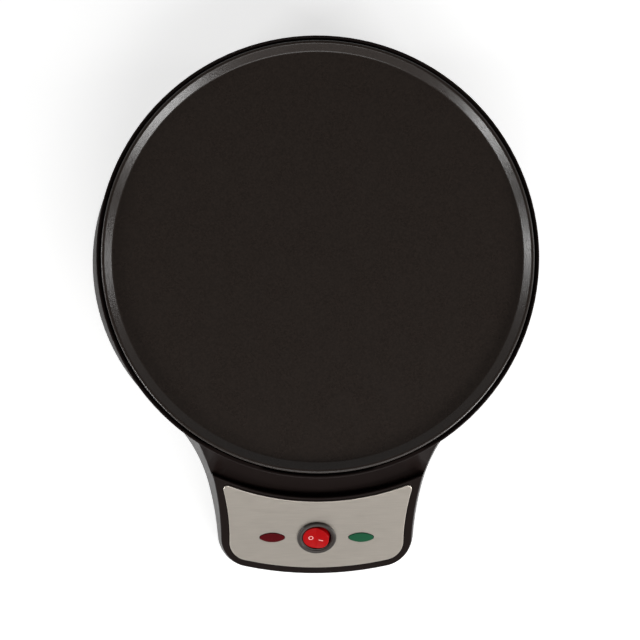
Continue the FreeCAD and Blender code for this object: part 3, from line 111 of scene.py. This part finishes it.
def even_normals(obj):
    """Lets large flat faces keep their own normal, so that only the rounds beside them shade."""
    modifier = obj.modifiers.new("even", "WEIGHTED_NORMAL")
    modifier.keep_sharp = True
    modifier.weight = 100
    apply_modifiers(obj)


def tidy_normals(obj):
    """Merges points that lie on each other and turns every face outwards."""
    activate(obj)
    bpy.ops.object.mode_set(mode="EDIT")
    bpy.ops.mesh.select_all(action="SELECT")
    bpy.ops.mesh.remove_doubles(threshold=1e-6)
    bpy.ops.mesh.normals_make_consistent(inside=False)
    bpy.ops.object.mode_set(mode="OBJECT")


def cut_with(obj, tool, operation="DIFFERENCE"):
    """Applies a boolean and deletes the tool."""
    modifier = obj.modifiers.new("cut", "BOOLEAN")
    modifier.operation = operation
    modifier.solver = "EXACT"
    modifier.object = tool
    apply_modifiers(obj)
    bpy.data.objects.remove(tool)


def join_all(name, pieces):
    deselect_all()
    for piece in pieces:
        piece.select_set(True)
    bpy.context.view_layer.objects.active = pieces[0]
    bpy.ops.object.join()
    pieces[0].name = name
    pieces[0].data.name = name
    return pieces[0]


# %% [markdown]
# The plate's rim and the switch's bezel are round. Here a circle is extruded and scaled from
# ring to ring along a profile, which gives clean loops that follow the light, and its two
# ends are closed with a face.

# %% The lathe


def turned(name, rings, steps, centre=(0.0, 0.0, 0.0)):
    """Turns a list of (radius, height) rings, in metres, about an upright axis."""
    deselect_all()
    radius, height = rings[0]
    x, y, base = centre
    bpy.ops.mesh.primitive_circle_add(
        vertices=steps, radius=radius, location=(x, y, base + height), fill_type="NGON")
    obj = bpy.context.object
    obj.name = name
    obj.data.name = name
    bpy.ops.object.mode_set(mode="EDIT")
    bpy.ops.mesh.select_mode(type="EDGE")
    bpy.ops.mesh.select_all(action="SELECT")
    bpy.ops.mesh.region_to_loop()
    for wider, higher in rings[1:]:
        bpy.ops.mesh.extrude_edges_move(
            TRANSFORM_OT_translate={"value": (0, 0, higher - height)})
        share = wider / radius
        bpy.ops.transform.resize(value=(share, share, 1), center_override=(x, y, base + higher))
        radius, height = wider, higher
    bpy.ops.mesh.edge_face_add()
    bpy.ops.object.mode_set(mode="OBJECT")
    tidy_normals(obj)
    settle(obj)
    return obj


def arc(middle, radius, start, end, count=6):
    """Points of a profile's round corner, from one angle in degrees to another."""
    points = []
    for k in range(count + 1):
        turn = math.radians(start + (end - start) * k / count)
        points.append((middle[0] + radius * math.cos(turn), middle[1] + radius * math.sin(turn)))
    return points


# %% [markdown]
# The cooking plate is a casting with a thick non-stick coat. Its flat surface ends in a small
# hollow, a short slope and a round crest, and these three catch thin lines of light. They are
# turned in one profile, from the underside, over the crest and in to the flat surface. The
# screw bosses and the heater's ridge below can't be turned, so they are cut from a copy of
# the frame's plate and joined to it.

# %% The cooking plate
plate_low, plate_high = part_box("cooking_plate")
plate_axis = (plate_low + plate_high) / 2
plate_radius = (plate_high.x - plate_low.x) / 2
crest_height = plate_high.z
cooking_height = crest_height - 5.0 * MM
underside_height = cooking_height - 6.0 * MM
edge_low = cooking_height - 10.0 * MM
edge_wall = 3.0 * MM
edge_bevel = 0.5 * MM
crest_width = 2.4 * MM
slope_width = 5.0 * MM
shoulder_round = 1.5 * MM
crest_round = 1.2 * MM
foot_round = 2.2 * MM
last_ring_share = 0.85
core_radius = 140.0 * MM
core_top = cooking_height - 0.9 * MM
core_margin = 2.0 * MM


def plate_profile():
    slope = math.atan2(crest_height - cooking_height, slope_width)
    lean = math.degrees(slope)
    shoulder_middle = (plate_radius - shoulder_round, crest_height - shoulder_round)
    inner_reach = crest_round * math.tan(slope / 2)
    inner_middle = (plate_radius - crest_width + inner_reach, crest_height - crest_round)
    foot_radius = plate_radius - crest_width - slope_width
    foot_reach = foot_round * math.tan(slope / 2)
    foot_middle = (foot_radius - foot_reach, cooking_height + foot_round)
    lower = [
        (plate_radius - edge_wall, underside_height),
        (plate_radius - edge_wall, edge_low),
        (plate_radius - edge_bevel, edge_low),
        (plate_radius, edge_low + edge_bevel),
    ]
    outer = arc(shoulder_middle, shoulder_round, 0, 90, 10)
    inner = arc(inner_middle, crest_round, 90, 90 + lean)
    foot = arc(foot_middle, foot_round, lean - 90, -90, 8)
    return lower + outer + inner + foot + [(foot_radius * last_ring_share, cooking_height)]


def plate_underside():
    """Screw bosses and heater ridge of the casting, taken from the frame."""
    mesh = nodes["cooking_plate"].data.copy()
    obj = bpy.data.objects.new("plate_underside", mesh)
    bpy.context.scene.collection.objects.link(obj)
    tidy_normals(obj)
    depth = core_top - plate_low.z + core_margin
    deselect_all()
    bpy.ops.mesh.primitive_cylinder_add(
        vertices=96, radius=core_radius, depth=depth,
        location=(plate_axis.x, plate_axis.y, core_top - depth / 2))
    cut_with(obj, bpy.context.object, "INTERSECT")
    return obj


rim = turned("nonstick_plate", plate_profile(), 256, (plate_axis.x, plate_axis.y, 0.0))
plate = join_all("nonstick_plate", [rim, plate_underside()])
smooth(plate, 40)
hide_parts("cooking_plate")
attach(plate, "root")
print("plate diameter in mm:", round(2 * plate_radius / MM, 1))

# %% [markdown]
# The housing and the pressed panel have their exact shape in the frame. A copy of each is
# welded and shaded smooth, so that the light runs round their corners without facets, while
# weighted normals keep the large faces flat.

# %% The moulded housing and the pressed panel


def refined_copy(node, name):
    """Welded, smooth copy of a piece of the frame, which then stands for it."""
    mesh = nodes[node].data.copy()
    mesh.name = name
    obj = bpy.data.objects.new(name, mesh)
    bpy.context.scene.collection.objects.link(obj)
    activate(obj)
    bpy.ops.object.mode_set(mode="EDIT")
    bpy.ops.mesh.select_all(action="SELECT")
    bpy.ops.mesh.remove_doubles(threshold=1e-6)
    bpy.ops.object.mode_set(mode="OBJECT")
    smooth(obj, 30)
    even_normals(obj)
    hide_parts(node)
    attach(obj, "root")
    return obj


housing = refined_copy("upper_housing", "black_shell")
panel = refined_copy("control_panel", "steel_panel")
print("housing faces:", len(housing.data.polygons))

# %% [markdown]
# The switch sits square to the sloping panel. Its pieces are modelled flat, with the panel's
# face at height zero, and are then leaned back by the slope and moved to their place. That
# place comes from the frame: the rocker's hinge lies 3 mm under the panel's face.

# %% The slope of the panel
hinge = next(joint for joint in frame["joints"] if joint["name"] == "rocker_tilt")
slope = math.atan2(hinge["axis"][2], hinge["axis"][1])
hinge_depth = 3.0 * MM
rocker_swing = math.radians(hinge["range_deg"][1])
lean_back = Matrix.Rotation(slope, 4, "X")
face_centre = Vector(hinge["pos_m"]) + lean_back @ Vector((0, 0, hinge_depth))


def seat(obj, side=0.0, tilt=0.0):
    """Leans a flat-modelled piece on to the panel; tilt turns it about the rocker's hinge."""
    settle(obj)
    down = Matrix.Translation((0, 0, -hinge_depth))
    up = Matrix.Translation((0, 0, hinge_depth))
    turn = down @ Matrix.Rotation(tilt, 4, "Y") @ up
    place = Matrix.Translation(face_centre + Vector((side, 0, 0))) @ lean_back
    obj.data.transform(place @ turn)
    obj.data.update()


print("panel slope in degrees:", round(math.degrees(slope), 2))

# %% [markdown]
# The bezel is a turned ring with a round outer edge, a flat top and a small funnel down to
# the rocker. It is one moulding with the barrel below, which has two bearing holes.

# %% The bezel and barrel of the switch
bezel_radius = 14.1 * MM
bezel_height = 2.0 * MM
barrel_radius = 12.4 * MM
bore_radius = 10.4 * MM
barrel_depth = 17.0 * MM
floor_depth = 15.0 * MM
bezel_round = 1.2 * MM
lip_round = 0.6 * MM
lip_inset = 1.5 * MM
lip_drop = 0.35 * MM
funnel_width = 0.15 * MM
funnel_depth = 1.25 * MM
bore_depth = 1.7 * MM
bearing_radius = 1.55 * MM


def bezel_profile():
    outer_middle = (bezel_radius - bezel_round, bezel_height - bezel_round)
    lip_middle = (bore_radius + lip_inset, bezel_height - lip_drop - lip_round)
    inside = [(bore_radius, -floor_depth), (bore_radius, bezel_height - bore_depth)]
    funnel = [(bore_radius + funnel_width, bezel_height - funnel_depth)]
    lip = arc(lip_middle, lip_round, 180, 90, 5)
    outer = arc(outer_middle, bezel_round, 90, 0, 8)
    under = [(bezel_radius, 0.0), (barrel_radius, 0.0), (barrel_radius, -barrel_depth)]
    return inside + funnel + lip + outer + under


bezel = turned("switch_bezel", bezel_profile(), 128)
deselect_all()
bpy.ops.mesh.primitive_cylinder_add(
    vertices=32, radius=bearing_radius, depth=4 * barrel_radius,
    location=(0, 0, -hinge_depth), rotation=(math.pi / 2, 0, 0))
cut_with(bezel, bpy.context.object)
smooth(bezel, 35)
seat(bezel)
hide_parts("switch_housing")
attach(bezel, "root")

# %% [markdown]
# The rocker is a round paddle with a shallow V for a top: whichever side is pressed lies
# level, and the other side stands up. A cylinder is cut by two leaning planes, and its rim
# and ridge are then bevelled, because a moulded piece has no sharp edge.

# %% The rocker
rocker_radius = 9.4 * MM
rocker_middle = 1.0 * MM
rocker_low = -6.5 * MM
rocker_bevel = 0.55 * MM
trunnion_radius = 1.5 * MM
trunnion_length = 2.6 * MM
trunnion_reach = 1.0 * MM
paddle_lean = rocker_swing / 2
close_to = 0.02 * MM


def paddle():
    deselect_all()
    top = rocker_middle + 2.0 * rocker_radius * math.tan(paddle_lean)
    bpy.ops.mesh.primitive_cylinder_add(
        vertices=128, radius=rocker_radius, depth=top - rocker_low,
        location=(0, 0, (top + rocker_low) / 2))
    obj = bpy.context.object
    obj.name = "red_rocker"
    settle(obj)
    return obj


def v_tool(side):
    """Block that takes away what lies above one half of the rocker's top."""
    deselect_all()
    size = 6.0 * rocker_radius
    bpy.ops.mesh.primitive_cube_add(size=size)
    obj = bpy.context.object
    obj.data.transform(Matrix.Translation((side * size / 2, 0, size / 2)))
    obj.data.transform(Matrix.Rotation(-side * paddle_lean, 4, "Y"))
    obj.data.transform(Matrix.Translation((0, 0, rocker_middle)))
    return obj


def top_edge(first, second):
    """True for an edge of the V-shaped top, its rim or its middle line."""
    def level(point):
        return rocker_middle + abs(point.x) * math.tan(paddle_lean)
    return all(abs(point.z - level(point)) < close_to for point in (first, second))


rocker = paddle()
for side in (-1, 1):
    cut_with(rocker, v_tool(side))
tidy_normals(rocker)
pick_edges(rocker, top_edge)
bpy.ops.mesh.bevel(offset=rocker_bevel, segments=4, profile=0.5)
bpy.ops.object.mode_set(mode="OBJECT")
smooth(rocker, 40)


def trunnion(side):
    deselect_all()
    bpy.ops.mesh.primitive_cylinder_add(
        vertices=32, radius=trunnion_radius, depth=trunnion_length,
        location=(0, side * (rocker_radius + trunnion_reach), -hinge_depth),
        rotation=(math.pi / 2, 0, 0))
    return bpy.context.object


rocker = join_all("red_rocker", [rocker, trunnion(-1), trunnion(1)])
seat(rocker, tilt=-paddle_lean)
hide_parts("switch_rocker")
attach(rocker, "rocker")

# %% [markdown]
# The marks for off and on are pads of pale ink that stand about a tenth of a millimetre proud:
# a small ring on the side that switches off, and a short bar on the other. They follow the
# rocker's top, so each is leaned to its half of the V before it is seated with the rocker.

# %% The marks on the rocker
mark_offset = 3.6 * MM
mark_rise = 0.03 * MM
ring_radius = 1.5 * MM
ring_stroke = 0.3 * MM
ring_flatness = 0.22
ring_place = 0.2 * MM
bar_size = (3.3 * MM, 0.75 * MM, 0.16 * MM)
bar_round = 0.06 * MM
bar_place = -1.2 * MM


def lean_mark(obj, side, up_slope):
    settle(obj)
    lift = rocker_middle + mark_offset * math.tan(paddle_lean) + mark_rise
    lean = Matrix.Rotation(-side * paddle_lean, 4, "Y")
    obj.data.transform(Matrix.Translation((side * mark_offset, up_slope, lift)) @ lean)


deselect_all()
bpy.ops.mesh.primitive_torus_add(
    major_segments=48, minor_segments=10, major_radius=ring_radius, minor_radius=ring_stroke)
off_mark = bpy.context.object
off_mark.name = "off_mark"
off_mark.scale = (1.0, 1.0, ring_flatness)
lean_mark(off_mark, -1, ring_place)

deselect_all()
bpy.ops.mesh.primitive_cube_add(size=1.0)
on_mark = bpy.context.object
on_mark.name = "on_mark"
on_mark.scale = bar_size
settle(on_mark)
bevel = on_mark.modifiers.new("round", "BEVEL")
bevel.width = bar_round
bevel.segments = 2
apply_modifiers(on_mark)
lean_mark(on_mark, 1, bar_place)
for mark in (off_mark, on_mark):
    smooth(mark, 50)
    seat(mark, tilt=-paddle_lean)
    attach(mark, "rocker")

# %% [markdown]
# Each indicator lens is an almond with small round tips, pushed in from behind. Its outline
# comes from the frame. A copy is laid flat, and what it shares with a large ball is kept, so
# its face gets the slight crown that a moulded lens has.

# %% The lenses
lens_offset = 31.9 * MM
lens_proud = 0.6 * MM
crown_radius = 110.0 * MM


def lens(node, name, side):
    obj = refined_copy(node, name)
    place = Matrix.Translation(face_centre + Vector((side, 0, 0))) @ lean_back
    obj.data.transform(place.inverted())
    deselect_all()
    bpy.ops.mesh.primitive_uv_sphere_add(
        segments=96, ring_count=512, radius=crown_radius,
        location=(0, 0, lens_proud - crown_radius))
    cut_with(obj, bpy.context.object, "INTERSECT")
    tidy_normals(obj)
    smooth(obj, 40)
    seat(obj, side)
    return obj


red = lens("red_lens", "red_almond_lens", -lens_offset)
green = lens("green_lens", "green_almond_lens", lens_offset)

# %% [markdown]
# A finish is more than a colour. Each one starts from the same shader, and then gets what the
# real surface has: fine grain as a bump, slow changes of tone, and changes of gloss. The
# patterns read object coordinates in metres, so a scale of 1000 means about a millimetre.

# %% Building blocks for finishes


def base_finish(name, color, roughness, metallic=0.0):
    material = bpy.data.materials.new(name)
    material.use_nodes = True
    shader = material.node_tree.nodes["Principled BSDF"]
    shader.inputs["Base Color"].default_value = (*color, 1.0)
    shader.inputs["Roughness"].default_value = roughness
    shader.inputs["Metallic"].default_value = metallic
    return material


def noise(material, scale, detail, stretch=(1, 1, 1)):
    """Noise on object coordinates, which can be drawn out along an axis."""
    tree = material.node_tree
    place = tree.nodes.new("ShaderNodeTexCoord")
    mapping = tree.nodes.new("ShaderNodeMapping")
    mapping.inputs["Scale"].default_value = stretch
    texture = tree.nodes.new("ShaderNodeTexNoise")
    texture.inputs["Scale"].default_value = scale
    texture.inputs["Detail"].default_value = detail
    tree.links.new(place.outputs["Object"], mapping.inputs["Vector"])
    tree.links.new(mapping.outputs["Vector"], texture.inputs["Vector"])
    return texture.outputs["Fac"]


def add_grain(material, field, depth):
    """Turns a noise field into relief of a real depth in metres."""
    tree = material.node_tree
    shader = tree.nodes["Principled BSDF"]
    bump = tree.nodes.new("ShaderNodeBump")
    bump.inputs["Strength"].default_value = 1.0
    bump.inputs["Distance"].default_value = depth
    tree.links.new(field, bump.inputs["Height"])
    if shader.inputs["Normal"].links:
        before = shader.inputs["Normal"].links[0].from_socket
        tree.links.new(before, bump.inputs["Normal"])
    tree.links.new(bump.outputs["Normal"], shader.inputs["Normal"])


def vary_roughness(material, field, low, high):
    """Maps the middle of a noise field to a range of roughness."""
    tree = material.node_tree
    ramp = tree.nodes.new("ShaderNodeMapRange")
    ramp.inputs["From Min"].default_value = 0.3
    ramp.inputs["From Max"].default_value = 0.7
    ramp.inputs["To Min"].default_value = low
    ramp.inputs["To Max"].default_value = high
    tree.links.new(field, ramp.inputs["Value"])
    tree.links.new(ramp.outputs["Result"], tree.nodes["Principled BSDF"].inputs["Roughness"])


def tint(material, field, dark, light):
    """Mixes two close colours by a noise field."""
    tree = material.node_tree
    ramp = tree.nodes.new("ShaderNodeValToRGB")
    ramp.color_ramp.elements[0].position = 0.3
    ramp.color_ramp.elements[0].color = (*dark, 1.0)
    ramp.color_ramp.elements[1].position = 0.7
    ramp.color_ramp.elements[1].color = (*light, 1.0)
    tree.links.new(field, ramp.inputs["Fac"])
    tree.links.new(ramp.outputs["Color"], tree.nodes["Principled BSDF"].inputs["Base Color"])


def shades(color, change):
    """The same colour a little darker and a little lighter."""
    return [tuple(channel * (1 - change) for channel in color),
            tuple(channel * (1 + change) for channel in color)]


# %% [markdown]
# The non-stick coat is sprayed on and baked: nearly black with a warm cast, with a fine even
# tooth that spreads every reflection. Two sizes of noise make the tooth.

# %% The non-stick coat


def nonstick_coat():
    color = (0.0235, 0.0172, 0.0140)
    material = base_finish("nonstick coat", color, 0.28)
    tint(material, noise(material, 900, 3), *shades(color, 0.25))
    add_grain(material, noise(material, 2200, 3), 0.05 * MM)
    add_grain(material, noise(material, 500, 2), 0.03 * MM)
    vary_roughness(material, noise(material, 60, 3), 0.26, 0.30)
    return material


# %% [markdown]
# The housing is moulded in black heat-proof plastic with a fine satin texture. It shines less
# than the coat of the plate, so its specular level is low. The rubber, the wires' sleeves and
# the small mouldings are made with the same helper, in other colours and grains.

# %% Moulded plastics and rubber


def moulded(name, color, roughness, grain_depth=0.02 * MM, grain_scale=1600, gloss=0.5):
    """Moulded surface: grain in metres and per metre, and gloss as a specular level."""
    material = base_finish(name, color, roughness)
    material.node_tree.nodes["Principled BSDF"].inputs["Specular IOR Level"].default_value = gloss
    tint(material, noise(material, 40, 3), *shades(color, 0.04))
    add_grain(material, noise(material, grain_scale, 2), grain_depth)
    vary_roughness(material, noise(material, 90, 2), roughness - 0.01, roughness + 0.02)
    return material


def polished(name, color, roughness):
    """Deep-coloured moulding with a polished skin."""
    return moulded(name, color, roughness, 0.004 * MM, 700, 0.12)


# %% [markdown]
# The panel is stainless sheet with a satin brushing that runs from side to side. Noise drawn
# out along that way gives fine lines, both in the relief and in the gloss.

# %% Metals


def brushed(name, color, roughness):
    material = base_finish(name, color, roughness, 1.0)
    lines = noise(material, 2600, 3, (0.03, 1, 1))
    tint(material, lines, *shades(color, 0.05))
    add_grain(material, lines, 0.004 * MM)
    vary_roughness(material, lines, roughness - 0.03, roughness + 0.04)
    return material


def plain_metal(name, color, roughness, scale=700):
    material = base_finish(name, color, roughness, 1.0)
    tint(material, noise(material, scale, 3), *shades(color, 0.12))
    add_grain(material, noise(material, 1800, 2), 0.008 * MM)
    vary_roughness(material, noise(material, 300, 3), roughness - 0.05, roughness + 0.08)
    return material


# %% [markdown]
# The small lamps are clear glass with a warm cast. Light passes through it, and a faint
# waviness keeps its reflections from looking drawn.

# %% Glass


def lamp_glass():
    material = base_finish("lamp glass", (0.95, 0.82, 0.75), 0.05)
    shader = material.node_tree.nodes["Principled BSDF"]
    shader.inputs["Transmission Weight"].default_value = 0.9
    shader.inputs["IOR"].default_value = 1.45
    add_grain(material, noise(material, 400, 1), 0.01 * MM)
    return material


# %% [markdown]
# Every material slot of the record gets one finish, and every piece wears the finish of its
# slot. So a repaint of one slot reaches all of its pieces.

# %% The finishes by slot
finishes = {
    "nonstick_plate": nonstick_coat(),
    "black_housing": moulded("black housing", (0.0100, 0.0062, 0.0054), 0.36, gloss=0.08),
    "stainless_panel": brushed("stainless panel", (0.565, 0.515, 0.455), 0.36),
    "switch_black": moulded("switch black", (0.036, 0.030, 0.026), 0.35, 0.006 * MM, 900, 0.3),
    "rocker_red": polished("rocker red", (0.37, 0.001, 0.002), 0.34),
    "lens_red": polished("lens red", (0.072, 0.001, 0.003), 0.25),
    "lens_green": polished("lens green", (0.012, 0.082, 0.038), 0.25),
    "base_plastic": moulded("base plastic", (0.02, 0.019, 0.018), 0.5),
    "foot_rubber": moulded("foot rubber", (0.03, 0.03, 0.03), 0.75, 0.03 * MM, 1200),
    "zinc_steel": plain_metal("zinc steel", (0.55, 0.56, 0.57), 0.35),
    "heater_sheath": plain_metal("heater sheath", (0.22, 0.19, 0.17), 0.5, 200),
    "bright_sheet": brushed("bright sheet", (0.72, 0.72, 0.73), 0.25),
    "brass_contact": plain_metal("brass contact", (0.70, 0.50, 0.22), 0.30),
    "white_ceramic": moulded("white ceramic", (0.72, 0.69, 0.63), 0.6, 0.03 * MM, 900),
    "spring_steel": plain_metal("spring steel", (0.42, 0.42, 0.43), 0.32),
    "lamp_glass": lamp_glass(),
    "grey_nylon": moulded("grey nylon", (0.42, 0.42, 0.40), 0.45),
    "bush_plastic": moulded("bush plastic", (0.022, 0.022, 0.022), 0.42),
    "lead_brown": moulded("brown lead", (0.12, 0.045, 0.02), 0.5),
    "lead_blue": moulded("blue lead", (0.02, 0.07, 0.28), 0.5),
    "lead_earth": moulded("earth lead", (0.10, 0.30, 0.04), 0.5),
    "lead_red": moulded("red lead", (0.35, 0.02, 0.02), 0.5),
    "lead_white": moulded("white lead", (0.65, 0.65, 0.62), 0.5),
}
mark_ink = moulded("mark ink", (0.80, 0.42, 0.40), 0.5)


def wear(obj, material):
    obj.data.materials.clear()
    obj.data.materials.append(material)


for part in frame["record"]["subparts"]:
    wear(nodes[part["node"]], finishes[part["material_slot"]])
for obj, finish in ((plate, "nonstick_plate"), (housing, "black_housing"),
                    (panel, "stainless_panel"), (bezel, "switch_black"),
                    (rocker, "rocker_red"), (red, "lens_red"), (green, "lens_green")):
    wear(obj, finishes[finish])
for mark in (off_mark, on_mark):
    wear(mark, mark_ink)
print("finishes:", len(finishes))

# %% [markdown]
# The set is a pale table that runs far out on every side. It glows like a light table, and so
# the shadow round the appliance stays faint.

# %% The table
table_width = 12.0
deselect_all()
bpy.ops.mesh.primitive_plane_add(size=table_width, location=(0, 0, 0))
table = bpy.context.object
table.name = "table"
paper = base_finish("white table", (0.90, 0.90, 0.895), 0.8)
tint(paper, noise(paper, 3, 2), (0.89, 0.89, 0.885), (0.91, 0.91, 0.905))
paper_glow = 0.55
shader = paper.node_tree.nodes["Principled BSDF"]
shader.inputs["Emission Color"].default_value = (1.0, 1.0, 1.0, 1.0)
shader.inputs["Emission Strength"].default_value = paper_glow
wear(table, paper)

# %% [markdown]
# The light is soft and stands low: the strongest lamp at the front right, others at the front
# left, the left and the right. The rim of the plate slopes inwards, so each part of it mirrors
# the lamp across the plate. A broad, weak lamp higher up in front lights the steel panel.
# Straight above the plate it is dark, as under a camera on a stand, and so the flat surface
# stays nearly black although the table is white. A gradient in the world gives that.

# %% The lights
light_aim = Vector((0.0, 0.0, 0.05))


def soft_light(name, place, width, height, power):
    """Rectangular lamp, sized in metres and with its power in watts, that faces the appliance."""
    data = bpy.data.lights.new(name, "AREA")
    data.shape = "RECTANGLE"
    data.size = width
    data.size_y = height
    data.energy = power
    obj = bpy.data.objects.new(name, data)
    bpy.context.scene.collection.objects.link(obj)
    obj.location = place
    way = light_aim - Vector(place)
    obj.rotation_euler = way.to_track_quat("-Z", "Y").to_euler()


soft_light("key", (1.82, -1.4, 0.85), 0.85, 0.5, 36.0)
soft_light("front_left", (-1.9, -1.25, 0.75), 0.55, 0.45, 19.0)
soft_light("left", (-2.1, 0.1, 0.55), 0.4, 0.4, 10.0)
soft_light("right", (2.1, 0.25, 0.55), 0.4, 0.4, 6.0)
soft_light("panel", (0.25, -1.45, 1.6), 1.6, 0.9, 15.0)

world = bpy.data.worlds.new("studio")
world.use_nodes = True
tree = world.node_tree
direction = tree.nodes.new("ShaderNodeTexCoord")
split = tree.nodes.new("ShaderNodeSeparateXYZ")
ramp = tree.nodes.new("ShaderNodeValToRGB")
low_sky = (0.30, 0.34)
high_sky = (0.90, 0.04)
for stop, (height, value) in zip(ramp.color_ramp.elements, (low_sky, high_sky)):
    stop.position = height
    stop.color = (value, value, value, 1.0)
tree.links.new(direction.outputs["Generated"], split.inputs["Vector"])
tree.links.new(split.outputs["Z"], ramp.inputs["Fac"])
tree.links.new(ramp.outputs["Color"], tree.nodes["Background"].inputs["Color"])
tree.nodes["Background"].inputs["Strength"].default_value = 1.0
bpy.context.scene.world = world
bpy.context.scene.view_settings.view_transform = "Standard"

# %% [markdown]
# The camera looks from almost straight above, about 1.2 m over the plate, and stands a little
# towards the front and the left. That is why the foot of the housing shows on the left and
# the pod looks slightly long.

# %% The camera
camera_place = Vector((-0.0398, -0.0441, 1.275))
camera_aim = Vector((0.00096, -0.00794, 0.078))
camera_data = bpy.data.cameras.new("camera")
camera_data.sensor_width = 36.0
camera_data.lens = 96.83
camera = bpy.data.objects.new("camera", camera_data)
bpy.context.scene.collection.objects.link(camera)
look = (camera_aim - camera_place).normalized()
right = look.cross(Vector((0, 1, 0))).normalized()
above = right.cross(look)
turn = Matrix((right, above, -look)).transposed().to_4x4()
camera.matrix_world = Matrix.Translation(camera_place) @ turn
bpy.context.scene.camera = camera

# %% A clean selection to end with
deselect_all()
